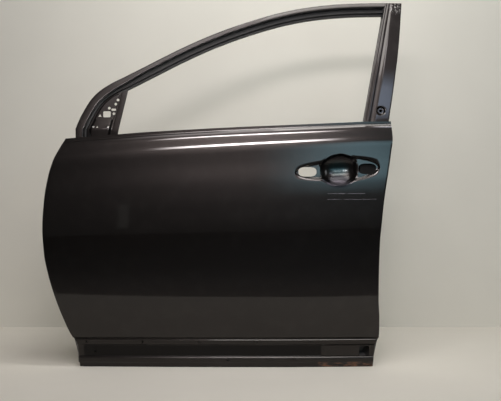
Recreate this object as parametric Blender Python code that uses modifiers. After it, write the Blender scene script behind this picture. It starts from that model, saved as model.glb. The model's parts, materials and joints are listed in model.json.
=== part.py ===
"""Shell of a left front car door: skin, inner panel, window frame and the parts welded between them.

Metres. X runs to the rear of the car, Y into the car and Z up. The pieces are drawn from the skin's
most forward point, its outermost plane and its lower edge. An empty then moves them all so that the
middle of the upper hinge face is the origin.
"""
import math

import bmesh
import bpy
from mathutils import Matrix, Vector

# Sheets, and the clearance between sheets that lie together
SHEET = 0.0010
GAP = 0.0003
STACK = SHEET + GAP
SEAT = 0.0006
OVERRUN = 0.0040

# Overall body of the door, below the window
BODY_LENGTH = 1.141
BELT_HEIGHT = 0.814
TUCK_DEPTH = 0.054
CROWN_FRONT = 0.012
CROWN_REAR = 0.010
CROWN_CENTRE_SHARE = 0.62

# Skin edges: share of the belt height, share of the body length
FRONT_EDGE_SHARES = (
    (0.0, 0.0957), (0.1006, 0.0901), (0.1324, 0.0742), (0.2027, 0.0536), (0.2563, 0.0400),
    (0.3091, 0.0285), (0.3612, 0.0185), (0.3978, 0.0125), (0.4666, 0.0040), (0.5747, 0.0),
    (0.6864, 0.0049), (0.7762, 0.0151), (0.8144, 0.0223), (0.8522, 0.0320), (0.8778, 0.0415),
    (0.9314, 0.0634))
REAR_EDGE_SHARES = (
    (0.0, 0.9512), (0.0985, 0.9557), (0.1281, 0.9669), (0.1998, 0.9662), (0.2916, 0.9622),
    (0.4018, 0.9616), (0.5068, 0.9631), (0.6086, 0.9691), (0.7002, 0.9764), (0.8016, 0.9875),
    (0.8773, 0.9954), (0.9294, 1.0), (1.0, 0.9959))
# Belt line: share of the way from the skin's front to its rear, share of the belt height
BELT_SHARES = (
    (0.0, 0.9314), (0.1567, 0.9478), (0.261, 0.9580), (0.4143, 0.9695), (0.5709, 0.9795),
    (0.7211, 0.9875), (0.8437, 0.9945), (0.9265, 0.9990), (1.0, 1.0))
# Skin section: share of the local belt height, share of the tuck depth
SECTION_SHARES = (
    (0.0, 1.0), (0.11, 0.741), (0.2027, 0.481), (0.307, 0.241), (0.405, 0.093), (0.516, 0.019),
    (0.577, 0.0), (0.676, 0.055), (0.762, 0.148), (0.86, 0.296), (1.0, 0.444))

# Belt ridges: share of their height below the belt line, share of the step in from the plain skin
RIDGE_HEIGHT = 0.0800
RIDGE_STEP = 0.0100
RIDGE_SHARES = (
    (0.0, 1.0), (0.13, 0.98), (0.15, 0.90), (0.18, 0.66), (0.24, 0.50), (0.31, 0.26), (0.39, 0.10),
    (0.475, 0.02), (0.575, 0.06), (0.66, 0.22), (0.725, 0.18), (0.80, 0.06), (0.90, 0.01), (1.0, 0.0))

# Lower land that carries the cladding: share of its height, share of its relief inboard of the skin
LAND_HEIGHT = 0.1030
LAND_DEPTH = 0.0050
GROOVE_LOW_SHARE = 0.36
GROOVE_HIGH_SHARE = 0.73
LAND_SHARES = (
    (0.0, 0.0), (0.136, 0.0), (0.165, -0.70), (0.243, -1.0), (0.32, -0.70), (GROOVE_LOW_SHARE, 0.56),
    (GROOVE_HIGH_SHARE, 0.68), (0.767, -0.36), (0.913, -0.44), (0.937, 0.56), (0.971, 0.56), (1.0, 0.0))
GROOVE_END_SHARE = 0.815
GROOVE_FADE_SHARE = 0.020

# Hem of the skin round the inner panel's flange
HEM_WIDTH = 0.0090
HEM_REACH = 0.0018
HEM_LIFT = 0.0070

# Grid of the skin
SKIN_COLUMN_SHARES = (
    0.0, 0.0125, 0.06, 0.14, 0.24, 0.34, 0.44, 0.54, 0.64, 0.73, 0.815, 0.835, 0.90, 0.955, 0.9875,
    1.0)
SHOULDER_DROP = 0.2140
SKIN_ROWS = 11
SKIN_BLEND_SHARES = (0.33, 0.67)

# Handle pan stamped in the skin
PAN_FROM_REAR = 0.1762
PAN_DROP = 0.1573
PAN_TILT = math.radians(4)
PAN_FRONT_REACH = 0.1447
PAN_REAR_REACH = 0.1348
LOBE_FRONT_HEIGHT = 0.0300
LOBE_REAR_HEIGHT = 0.0405
BOWL_HALF_LENGTH = 0.0600
BOWL_HALF_HEIGHT = 0.0512
BOWL_DEPTH = 0.0380
LOBE_DEPTH = 0.0105
PAN_SHEET = 0.0012
PAN_LIP = 0.0008
PAN_POINTS = 22
PAN_FLOOR_INSET = 0.0055
PAN_WALL_INSET = 0.0015
PAN_WALL_DEPTH = 0.0025
LOBE_POWER_SHARE = 0.6
BOWL_POWER_SHARE = 0.5
PAN_BLEND_POWER = 6
PAN_EASE_SHARE = 1.2
BOWL_RING_SHARES = ((0.97, 0.32), (0.86, 0.68), (0.62, 0.92), (0.30, 0.99))
RING_LIMIT_SHARE = 0.97
HANDLE_HOLE_LENGTH = 0.0570
HANDLE_HOLE_HEIGHT = 0.0290
HANDLE_FRONT_HOLE_OFFSET = 0.1020
HANDLE_REAR_HOLE_OFFSET = 0.0940
HANDLE_HOLE_POWER_SHARE = 0.7

# Holes of the lower land, the loose ones as shares of the body's length and of the land's height
CLIP_HEIGHT = 0.0865
CLIP_PITCH = 0.1870
CLIP_FIRST_X = 0.1335
CLIP_COUNT = 5
CLIP_RADIUS = 0.0035
LAND_HOLE_SHARES = ((0.1424, 0.505), (0.5276, 0.233), (0.7201, 0.282))
LAND_HOLE_RADIUS = 0.0032
LAND_WINDOW_FROM_REAR = 0.0860
LAND_WINDOW_Z = 0.0540
LAND_WINDOW_SIDE = 0.0330
LAND_WINDOW_HEIGHT = 0.0360

# Window frame
FRAME_RISE = 0.405
FRAME_FOOT_Y = 0.0560
FRAME_LEAN = 0.2935
FRAME_BEND_DROP = 0.0240
FRAME_DEPTH = 0.0500
FRAME_FOOT_DEPTH = 0.1480
# Outer edge of the rail over the window: share of the body length, share of the frame's rise
ARCH_SHARES = (
    (0.0903, -0.0593), (0.1000, 0.0150), (0.1127, 0.0900), (0.1290, 0.1700), (0.1530, 0.2460),
    (0.1882, 0.3136), (0.2248, 0.3662), (0.2981, 0.4740), (0.3719, 0.5830), (0.4462, 0.6830),
    (0.5211, 0.7700), (0.5920, 0.8400), (0.6650, 0.9020), (0.7380, 0.9480), (0.8110, 0.9770),
    (0.8900, 0.9935), (0.9970, 1.0))
ARCH_STATIONS = 28
RAIL_WIDTH = 0.0420
RAIL_FACE = 0.0150
RAIL_FACE_FOOT = 0.0250
RAIL_FACE_START_SHARE = 0.17
RAIL_FACE_END_SHARE = 0.29
RAIL_STRIP = 0.0135
RAIL_LIP = 0.0025
RAIL_FLANGE_DEPTH = 0.0260
RAIL_RETURN_DEPTH = 0.0150
CHANNEL_DEPTH = 0.0185
STRIP_DEPTH = 0.0260

# Rear post
PILLAR_INNER_FROM_REAR = 0.0891
GLASS_RAKE = 0.2063
PILLAR_OUTER_SHARES = ((0.0, 0.9931), (0.3395, 1.0147), (0.6299, 1.0303), (1.0, 1.0439))
PILLAR_FOOT_TAPER = 0.0260
PILLAR_ROW_SHARES = (0.0, 0.12, 0.25, 0.40, 0.55, 0.70, 0.84, 0.93)
PILLAR_STRIP = 0.0050
PILLAR_STRIP_DEPTH = 0.0040
PILLAR_RIB_WIDTH = 0.0050
PILLAR_RIB_DEPTH = 0.0018
PILLAR_CREASE_SHARE = 0.41
PILLAR_OUTER_SET = 0.0050
PILLAR_FLANGE_DEPTH = 0.0340
PILLAR_CAP_DEPTH = 0.0150
PILLAR_HOLE_RISE = 0.0360
PILLAR_HOLE_SHARE = 0.60
PILLAR_HOLE_RADIUS = 0.0052
DIMPLE_RADIUS = 0.0155
DIMPLE_FLOOR_RADIUS = 0.0095
DIMPLE_DEPTH = 0.0060
DIMPLE_SIDES = 16

# Glass guides
GUIDE_WIDTH = 0.0150
GUIDE_OUTER_DEPTH = 0.0170
GUIDE_SET = 0.0180
GUIDE_FOOT_Z = 0.4400
POST_WIDTH = 0.0175
POST_FROM_ARCH = 0.1429
POST_OUTER_DEPTH = 0.0120
POST_SEAT = 0.0012
GUIDE_TOP_SHARE = 0.80
BRACKET_HEIGHT = 0.0320
BRACKET_LEG = 0.0130
BRACKET_STEP = 0.0080
BRACKET_FOOT = 0.0200

# Mirror corner, its holes as shares of its width at their height and of its height over the belt
SAIL_INSET = 0.0360
SAIL_POST_CLEARANCE = 0.0010
SAIL_ROW_SHARES = (0.15, 0.40, 0.65, 0.85, 1.0)
SAIL_TIP_WIDTH = 0.0080
SAIL_HOLE_SHARES = ((0.853, 0.733), (0.81, 0.593), (0.54, 0.456), (0.872, 0.269))
SAIL_HOLE_RADIUS = 0.0044
SAIL_WINDOW_SHARES = (0.548, 0.252)
SAIL_WINDOW_SIDE = 0.0250
SAIL_WINDOW_HEIGHT = 0.0200
SAIL_NOTCH_SHARES = (0.25, 0.199)
SAIL_NOTCH_RADIUS = 0.0060
SAIL_SLOT_SHARES = (0.80, 0.405)
SAIL_SLOT_LENGTH = 0.0150
SAIL_SLOT_HEIGHT = 0.0070
MIRROR_PLATE_RISE = 0.0085
MIRROR_PLATE_DROP = 0.0840
MIRROR_PLATE_SET = 0.0070
MIRROR_PLATE_FLANGE = 0.0060
MIRROR_HOLE_SHARES = ((0.18, -0.161), (0.777, -0.161), (0.537, -0.582))
MIRROR_HOLE_RADIUS = 0.0042
MIRROR_NOTCH_SHARES = (0.34, -0.173)
MIRROR_NOTCH_RADIUS = 0.0045
WELD_NUT_RADIUS = 0.0062
WELD_NUT_BORE = 0.0030
WELD_NUT_HEIGHT = 0.0042

# Inner panel
WALL_INSET = 0.0180
FLANGE_END = 0.0040
WALL_ROUND = 0.0040
WEB_ROUND_Y = 0.0100
WEB_ROUND = 0.0120
OPEN_FLANGE_SET = 0.0140
BOTTOM_FLANGE = 0.0135
BOTTOM_WALL_FOOT = 0.0175
BOTTOM_WALL_TOP = 0.0290
BOTTOM_WEB = 0.0420
PANEL_TOP_DROP = 0.0490
WEB_TOP_DROP = 0.0020
PAD_STEP = 0.0150
HINGE_HOLE_PITCH = 0.0440
HINGE_HOLE_RADIUS = 0.0045
UPPER_HINGE_Z = 0.5750
UPPER_HINGE_HALF = 0.0450
UPPER_PAD_X = 0.0345
LOWER_HINGE_Z = 0.2350
LOWER_HINGE_HALF = 0.0350
LOWER_PAD_X = 0.0680
CHECK_Z = 0.4100
CHECK_HALF = 0.0250
CHECK_PAD_X = 0.0215
LATCH_DROP = 0.1220
LATCH_HALF = 0.0550
LATCH_PAD_INSET = 0.0262
HINGE_Y = 0.0620
BOTTOM_COLUMN_SHARES = (0.04, 0.14, 0.24, 0.34, 0.44, 0.54, 0.64, 0.73, 0.82, 0.90, 0.96)
PANEL_TOP_SHARES = (0.10, 0.22, 0.36, 0.50, 0.64, 0.78, 0.90)

# Pressed field of the inner panel and its openings: shares of the body's length and belt height
FIELD_DEPTH = 0.0070
FIELD_SLOPE = 0.0070
LIP_HEIGHT = 0.0045
LIP_INSET = 0.0020
CORNER_STEPS = 3
FIELD_SHARES = (
    (0.188, 0.16), (0.815, 0.135), (0.828, 0.369), (0.815, 0.577), (0.846, 0.866), (0.351, 0.854),
    (0.188, 0.516))
FIELD_CORNER = 0.0450
SERVICE_SHARES = (
    (0.377, 0.418), (0.666, 0.393), (0.789, 0.491), (0.819, 0.835), (0.491, 0.826), (0.386, 0.688))
SERVICE_CORNER = 0.0450
REAR_OPENING_SHARES = ((0.561, 0.184), (0.784, 0.172), (0.789, 0.313), (0.561, 0.326))
REAR_OPENING_CORNER = 0.0350
SPEAKER_SHARES = (0.2936, 0.295)
SPEAKER_RADIUS = 0.0800
SPEAKER_SIDES = 24
MOTOR_SHARES = (0.2892, 0.528)
MOTOR_RADIUS = 0.0300
MOTOR_SIDES = 14
TRIM_HOLE_SHARES = (
    (0.0964, 0.369), (0.1446, 0.141), (0.2892, 0.088), (0.4908, 0.088), (0.6924, 0.088),
    (0.8677, 0.123), (0.8764, 0.418), (0.8896, 0.737), (0.1402, 0.774))
TRIM_HOLE_RADIUS = 0.0045
TRIM_HOLE_SIDES = 8
DRAIN_HOLE_SHARES = (0.25, 0.50, 0.75)
DRAIN_LENGTH = 0.0220
DRAIN_WIDTH = 0.0080

# Rails along the glass slot
BELT_RAIL_START_SHARE = 0.03
BELT_RAIL_END_SHARE = 0.955
BELT_RAIL_FLANGE = (0.0015, 0.0090)
BELT_RAIL_WEB = (0.0170, 0.0620)
BELT_RAIL_FOOT = (0.0880, 0.0960)
INNER_RAIL_FRONT_SHARE = 0.145
INNER_RAIL_REAR_SHARE = 0.89
INNER_RAIL_DEPTH = 0.0140
INNER_RAIL_DROP = 0.0060
INNER_RAIL_HEIGHT = 0.0620
INNER_RAIL_ROW_SHARES = (0.0, 0.16, 0.26, 0.74, 0.84, 1.0)
INNER_RAIL_COLUMNS = 7

# Side impact beam
BEAM_RADIUS = 0.0160
BEAM_WALL = 0.0020
BEAM_Y = 0.0360
BEAM_FRONT_X = 0.0850
BEAM_FRONT_DROP = 0.0960
BEAM_FROM_REAR = 0.1260
BEAM_REAR_DROP = 0.1700
BEAM_SIDES = 20
SADDLE_LENGTH = 0.0700
SADDLE_FLANGE = 0.0140
SADDLE_POINTS = 7
TAB_DEPTH = 0.0260
TAB_RUN = 0.0120
TAB_SEAT = 0.0010
MASTIC_PLACE_SHARES = (0.14, 0.38, 0.62, 0.86)
MASTIC_RADIUS = 0.0130

# Reinforcements
HINGE_LEG_START = 0.0380
HINGE_WEB_LEG = 0.0550
HINGE_EDGE = 0.0030
NUT_PLATE_THICKNESS = 0.0050
NUT_PLATE_HEIGHT = 0.0640
NUT_PLATE_WIDTH = 0.0280
NUT_HOLE_RADIUS = 0.0040
CHECK_SLOT_WIDTH = 0.0120
CHECK_SLOT_HEIGHT = 0.0180
CHECK_HOLE_PITCH = 0.0340
CHECK_HOLE_RADIUS = 0.0032
CHECK_PLATE_START = 0.0420
CHECK_PLATE_END = 0.0850
LATCH_SLOT_WIDTH = 0.0300
LATCH_SLOT_HEIGHT = 0.0420
LATCH_HOLE_PITCH = 0.0760
LATCH_HOLE_RADIUS = 0.0035
LATCH_LEG_START = 0.0340
TRAY_FRONT_REACH = 0.0712
TRAY_HALF_HEIGHT = 0.0490
TRAY_FLANGE = 0.0100
TRAY_DEPTH = 0.0260
TRAY_EDGE = 0.0026
GUSSET_ARM = 0.1300
GUSSET_WIDTH = 0.0300
DAMPING_LENGTH_SHARES = (0.3155, 0.736)
DAMPING_HEIGHT_SHARES = (0.197, 0.381)
DAMPING_THICKNESS = 0.0020
DAMPING_COLUMNS = 7
DAMPING_ROWS = 5

# Sides of round holes
HOLE_SIDES = 12

# Steps of the curves that are worked out point by point
PATH_STEPS = 12
SEARCH_STEPS = 30
MITRE_LIMIT_SHARE = 0.5

# Places worked out from the sizes above
SHOULDER_Z = BELT_HEIGHT - SHOULDER_DROP
HEM_LOW = LAND_HEIGHT + HEM_LIFT
PAN_X = BODY_LENGTH - PAN_FROM_REAR
PAN_Z = BELT_HEIGHT - PAN_DROP
BEAM_REAR_X = BODY_LENGTH - BEAM_FROM_REAR
LAND_WINDOW_X = BODY_LENGTH - LAND_WINDOW_FROM_REAR
FRAME_BEND_Z = BELT_HEIGHT - FRAME_BEND_DROP
FRAME_FOOT_Z = FRAME_BEND_Z - FRAME_FOOT_DEPTH
FRAME_TOP_Z = BELT_HEIGHT + FRAME_RISE
GUIDE_INNER_DEPTH = FRAME_DEPTH - GUIDE_SET
LATCH_Z = FRAME_FOOT_Z - LATCH_DROP
BEAM_FRONT_Z = UPPER_HINGE_Z - BEAM_FRONT_DROP
BEAM_REAR_Z = LATCH_Z - BEAM_REAR_DROP
LEAN_STACK = STACK * math.hypot(1, FRAME_LEAN) + GAP
WEB_Y = FRAME_FOOT_Y + FRAME_DEPTH + STACK
SAIL_DEPTH = STRIP_DEPTH - LEAN_STACK
FIELD_Y = WEB_Y - FIELD_DEPTH
MODEL_ORIGIN = Vector((UPPER_PAD_X - SHEET / 2, HINGE_Y, UPPER_HINGE_Z))

# Colours, all linear
PAINT = (0.030, 0.028, 0.031)
PRIMER = (0.022, 0.022, 0.023)
STEEL = (0.160, 0.165, 0.170)
MASTIC = (0.055, 0.055, 0.050)
BITUMEN = (0.020, 0.018, 0.017)


def smooth_value(points, t):
    """Value at t on a monotone cubic through (t, value) points in rising order."""
    if t <= points[0][0]:
        return points[0][1]
    if t >= points[-1][0]:
        return points[-1][1]
    slopes = [(b[1] - a[1]) / (b[0] - a[0]) for a, b in zip(points, points[1:])]
    index = next(i for i, point in enumerate(points[1:]) if t <= point[0])

    def tangent(i):
        if i == 0 or i == len(slopes):
            return slopes[min(i, len(slopes) - 1)]
        before, after = slopes[i - 1], slopes[i]
        return 0 if before * after <= 0 else 2 * before * after / (before + after)

    (t0, v0), (t1, v1) = points[index], points[index + 1]
    span = t1 - t0
    f = (t - t0) / span
    rise = tangent(index) * span
    fall = tangent(index + 1) * span
    return (
        (2 * f ** 3 - 3 * f ** 2 + 1) * v0 + (f ** 3 - 2 * f ** 2 + f) * rise
        + (3 * f ** 2 - 2 * f ** 3) * v1 + (f ** 3 - f ** 2) * fall)


def line_value(points, t):
    """Value at t on straight lines through (t, value) points in rising order."""
    if t <= points[0][0]:
        return points[0][1]
    for (t0, v0), (t1, v1) in zip(points, points[1:]):
        if t <= t1:
            return v0 + (v1 - v0) * (t - t0) / (t1 - t0)
    return points[-1][1]


def mix(a, b, share):
    return a + (b - a) * share


def front_edge(z):
    return smooth_value(FRONT_EDGE_SHARES, z / BELT_HEIGHT) * BODY_LENGTH


def rear_edge(z):
    return smooth_value(REAR_EDGE_SHARES, z / BELT_HEIGHT) * BODY_LENGTH


def belt_z(share):
    return smooth_value(BELT_SHARES, share) * BELT_HEIGHT


def length_share(x, z):
    """How far back x lies between the skin's edges at height z, from 0 to 1."""
    return min(1, max(0, (x - front_edge(z)) / (rear_edge(z) - front_edge(z))))


def plain_skin_y(x, z):
    """The skin without its ridges and its land."""
    share = length_share(x, z)
    section = smooth_value(SECTION_SHARES, z / belt_z(share)) * TUCK_DEPTH
    ahead = max(0, (CROWN_CENTRE_SHARE - share) / CROWN_CENTRE_SHARE)
    behind = max(0, (share - CROWN_CENTRE_SHARE) / (1 - CROWN_CENTRE_SHARE))
    return section + CROWN_FRONT * ahead ** 2 + CROWN_REAR * behind ** 2


def skin_y(x, z):
    """Middle of the skin's sheet."""
    share = length_share(x, z)
    relief = line_value(RIDGE_SHARES, (belt_z(share) - z) / RIDGE_HEIGHT) * RIDGE_STEP
    land = line_value(LAND_SHARES, z / LAND_HEIGHT) * LAND_DEPTH
    if GROOVE_LOW_SHARE * LAND_HEIGHT <= z <= GROOVE_HIGH_SHARE * LAND_HEIGHT:
        land *= min(1, max(0, 1 - (share - GROOVE_END_SHARE) / GROOVE_FADE_SHARE))
    return plain_skin_y(x, z) + relief + land


def skin_rows():
    """Rows of the skin from the bottom up, each a function from length share to height."""
    rows = [lambda share, h=h: h * LAND_HEIGHT for h, _ in LAND_SHARES]
    rows += [
        lambda share, i=i: mix(HEM_LOW, SHOULDER_Z, i / (SKIN_ROWS - 1)) for i in range(SKIN_ROWS)]
    rows += [
        lambda share, f=f: mix(SHOULDER_Z, belt_z(share) - RIDGE_HEIGHT, f)
        for f in SKIN_BLEND_SHARES]
    rows += [
        lambda share, d=d: belt_z(share) - d * RIDGE_HEIGHT for d, _ in reversed(RIDGE_SHARES)]
    return rows


def sheet_y(x, z):
    """The skin's sheet as its rows make it, straight between them."""
    share = length_share(x, z)
    points = []
    for row in skin_rows():
        height = row(share)
        points.append((height, skin_y(mix(front_edge(height), rear_edge(height), share), height)))
    return line_value(points, z)


def frame_y(z):
    """Outer face of the window frame, upright at its foot and leaning in above it."""
    return FRAME_FOOT_Y + FRAME_LEAN * max(0, z - FRAME_BEND_Z)


def pillar_inner_x(z):
    return BODY_LENGTH - PILLAR_INNER_FROM_REAR + GLASS_RAKE * (z - BELT_HEIGHT)


def latch_pad_x():
    return rear_edge(LATCH_Z) - LATCH_PAD_INSET


def front_pads():
    """Flat pads of the front wall: middle, half height and place."""
    return (
        (UPPER_HINGE_Z, UPPER_HINGE_HALF, UPPER_PAD_X), (CHECK_Z, CHECK_HALF, CHECK_PAD_X),
        (LOWER_HINGE_Z, LOWER_HINGE_HALF, LOWER_PAD_X))


def rear_pads():
    return ((LATCH_Z, LATCH_HALF, latch_pad_x()),)


def wall_x(z, edge, pads, inward):
    """Place of a side wall at one of its stations, flat across its pads."""
    for middle, half, x in pads:
        if abs(z - middle) <= half + GAP:
            return x
    return edge(z) + inward * WALL_INSET


def wall_stations(pads, share):
    """Heights of a side wall's columns, those of the skin's rows and of the pads, from the top."""
    top = belt_z(share)
    ridge = top - RIDGE_HEIGHT
    stations = {LAND_HEIGHT, HEM_LOW - HEM_LIFT / 2, ridge, ridge + HEM_LIFT / 2, ridge + PAD_STEP}
    stations.add(top - PANEL_TOP_DROP)
    stations |= {mix(HEM_LOW, SHOULDER_Z, i / (SKIN_ROWS - 1)) for i in range(SKIN_ROWS)}
    stations |= {mix(SHOULDER_Z, ridge, f) for f in SKIN_BLEND_SHARES}
    for middle, half, _ in pads:
        low, high = middle - half, middle + half
        stations = {z for z in stations if not low - PAD_STEP - GAP < z < high + PAD_STEP + GAP} | {
            low - PAD_STEP, low, mix(low, high, 1 / 3), mix(low, high, 2 / 3), high, high + PAD_STEP}
    return sorted(stations, reverse=True)


def front_wall_at(z):
    """The front wall between its stations too."""
    stations = reversed(wall_stations(front_pads(), 0))
    return line_value([(s, wall_x(s, front_edge, front_pads(), 1)) for s in stations], z)


def rear_wall_at(z):
    stations = reversed(wall_stations(rear_pads(), 1))
    return line_value([(s, wall_x(s, rear_edge, rear_pads(), -1)) for s in stations], z)


def web_top_z(x):
    """Upper edge of the inner panel, under the belt and under the bend of the window frame."""
    return min(belt_z(length_share(x, BELT_HEIGHT)) - WEB_TOP_DROP, FRAME_BEND_Z - SEAT)


def pillar_outer_x(z):
    """Rear edge of the post, drawn in below the belt so that it stands inside the inner panel."""
    if z >= BELT_HEIGHT:
        share = (z - BELT_HEIGHT) / FRAME_RISE
        return smooth_value(PILLAR_OUTER_SHARES, share) * BODY_LENGTH
    top = PILLAR_OUTER_SHARES[0][1] * BODY_LENGTH
    share = min(1, (BELT_HEIGHT - z) / PANEL_TOP_DROP)
    return top - PILLAR_FOOT_TAPER * share - max(0, BELT_HEIGHT - PANEL_TOP_DROP - z) * GLASS_RAKE


def smooth_path(points, count):
    """Evenly spaced points on a Catmull-Rom curve through the given points."""
    points = [Vector(point) for point in points]
    padded = [2 * points[0] - points[1]] + points + [2 * points[-1] - points[-2]]
    fine = []
    for p0, p1, p2, p3 in zip(padded, padded[1:], padded[2:], padded[3:]):
        for step in range(PATH_STEPS):
            f = step / PATH_STEPS
            fine.append((1 / 2) * (
                2 * p1 + (p2 - p0) * f + (2 * p0 - 5 * p1 + 4 * p2 - p3) * f ** 2
                + (3 * p1 - 3 * p2 + p3 - p0) * f ** 3))
    fine.append(points[-1])
    reach = [0]
    for a, b in zip(fine, fine[1:]):
        reach.append(reach[-1] + (b - a).length)
    result = []
    for i in range(count):
        target = reach[-1] * i / (count - 1)
        index = min(len(fine) - 2, max(0, sum(1 for value in reach if value <= target) - 1))
        share = (target - reach[index]) / (reach[index + 1] - reach[index])
        result.append(fine[index].lerp(fine[index + 1], min(1, share)))
    return result


def offset_outline(points, distance, closed=True):
    """Points moved to the left of their direction of travel."""
    moved = []
    count = len(points)
    for i, point in enumerate(points):
        before = points[i - 1] if closed or i else None
        after = points[(i + 1) % count] if closed or i < count - 1 else None
        into = (point - before).normalized() if before is not None else None
        out = (after - point).normalized() if after is not None else None
        into = into or out
        out = out or into
        tangent = (into + out).normalized()
        normal = Vector((-tangent.y, tangent.x))
        moved.append(point + normal * distance / max(MITRE_LIMIT_SHARE, tangent.dot(into)))
    return moved


def rounded_outline(corners, radius):
    """Outline with each corner turned into a short curve."""
    corners = [Vector(corner) for corner in corners]
    outline = []
    for i, corner in enumerate(corners):
        before = corner + (corners[i - 1] - corner).normalized() * radius
        after = corner + (corners[(i + 1) % len(corners)] - corner).normalized() * radius
        for step in range(CORNER_STEPS + 1):
            f = step / CORNER_STEPS
            outline.append(before * (1 - f) ** 2 + corner * 2 * f * (1 - f) + after * f ** 2)
    return outline


def circle_outline(x, z, radius, sides):
    turns = [2 * math.pi * i / sides for i in range(sides)]
    return [Vector((x + radius * math.cos(turn), z + radius * math.sin(turn))) for turn in turns]


def body_place(shares):
    """Point in X and Z from its shares of the body's length and the belt height."""
    return shares[0] * BODY_LENGTH, shares[1] * BELT_HEIGHT


def clear_scene():
    for item in list(bpy.data.objects):
        bpy.data.objects.remove(item, do_unlink=True)


def make_collection(name):
    collection = bpy.data.collections.new(name)
    bpy.context.scene.collection.children.link(collection)
    return collection


def material(name, colour, roughness, metallic):
    made = bpy.data.materials.new(name)
    made.use_nodes = True
    shader = made.node_tree.nodes["Principled BSDF"]
    shader.inputs["Base Color"].default_value = (*colour, 1)
    shader.inputs["Roughness"].default_value = roughness
    shader.inputs["Metallic"].default_value = metallic
    return made


def object_from(work, name, collection):
    """New object from a bmesh, its faces turned to one side."""
    bmesh.ops.recalc_face_normals(work, faces=work.faces[:])
    mesh = bpy.data.meshes.new(name)
    work.to_mesh(mesh)
    work.free()
    made = bpy.data.objects.new(name, mesh)
    collection.objects.link(made)
    return made


def add_part(work, name, colour, roughness, metallic):
    made = object_from(work, name, PARTS)
    made.parent = FRAME_EMPTY
    made.data.materials.append(material(name, colour, roughness, metallic))
    return made


def thicken(made, thickness):
    solidify = made.modifiers.new("sheet", "SOLIDIFY")
    solidify.thickness = thickness
    solidify.offset = 0
    solidify.use_even_offset = True
    return made


def round_shading(made, angle):
    made.data.shade_smooth()
    made.data.set_sharp_from_angle(angle=angle)


def grid(columns, rows, place, work=None):
    """A grid whose points are moved to place(column, row)."""
    work = work or bmesh.new()
    made = bmesh.ops.create_grid(work, x_segments=columns - 1, y_segments=rows - 1, size=1)
    for index, vert in enumerate(made["verts"]):
        vert.co = place(index % columns, index // columns)
    return work


def add_round(work, centre, radius, axis, length, sides=HOLE_SIDES):
    """Solid cylinder along X, Y or Z round the centre."""
    turn = {
        "X": Matrix.Rotation(math.pi / 2, 4, "Y"), "Y": Matrix.Rotation(math.pi / 2, 4, "X"),
        "Z": Matrix.Identity(4)}[axis]
    bmesh.ops.create_cone(
        work, cap_ends=True, segments=sides, radius1=radius, radius2=radius, depth=length,
        matrix=Matrix.Translation(centre) @ turn)


def add_box(work, low, high):
    low, high = Vector(low), Vector(high)
    scale = Matrix.Diagonal((*(high - low), 1))
    bmesh.ops.create_cube(work, size=1, matrix=Matrix.Translation((low + high) / 2) @ scale)


def add_prism(work, outline, low_y, high_y):
    """Solid of the given outline in X and Z, from one Y to another."""
    face = work.faces.new([work.verts.new((point.x, low_y, point.y)) for point in outline])
    made = bmesh.ops.extrude_face_region(work, geom=[face])
    for item in made["geom"]:
        if isinstance(item, bmesh.types.BMVert):
            item.co.y = high_y


def boolean(made, work, operation, name):
    tool = object_from(work, name, CUTTERS)
    tool.parent = FRAME_EMPTY
    tool.hide_render = True
    tool.display_type = "WIRE"
    modifier = made.modifiers.new(name, "BOOLEAN")
    modifier.operation = operation
    modifier.solver = "EXACT"
    modifier.object = tool
    return tool


def add_hem(work, chain, inward):
    """Folds the skin's edge round the flange: out along Y, then back over the flange."""
    edges = [edge for edge in work.edges if edge.verts[0] in chain and edge.verts[1] in chain]
    for shift, width in ((2 * STACK, 0), (0, HEM_WIDTH)):
        made = bmesh.ops.extrude_edge_only(work, edges=edges)
        edges = [item for item in made["geom"] if isinstance(item, bmesh.types.BMEdge)]
        edges = [edge for edge in edges if all(vert not in chain for vert in edge.verts)]
        fresh = {vert for edge in edges for vert in edge.verts}
        edges = [edge for edge in edges if len(edge.link_faces) == 1]
        for vert in fresh:
            x, z = vert.co.x, vert.co.z
            vert.co += inward * width
            vert.co.y += shift + skin_y(vert.co.x, vert.co.z) - skin_y(x, z)
        chain = fresh


def dish(rings, middle):
    """Sheet from a rim to a middle point, through closed rings of (point in X and Z, Y)."""
    count = len(rings[0])
    work = grid(
        count, len(rings),
        lambda i, j: Vector((rings[j][i][0].x, rings[j][i][1], rings[j][i][0].y)))
    work.verts.ensure_lookup_table()
    for j in range(len(rings) - 1):
        row, above = j * count, (j + 1) * count
        corners = (row + count - 1, row, above, above + count - 1)
        work.faces.new([work.verts[i] for i in corners])
    last = [work.verts[(len(rings) - 1) * count + i] for i in range(count)]
    centre = work.verts.new(middle)
    for a, b in zip(last, last[1:] + last[:1]):
        work.faces.new((a, b, centre))
    return work


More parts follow.
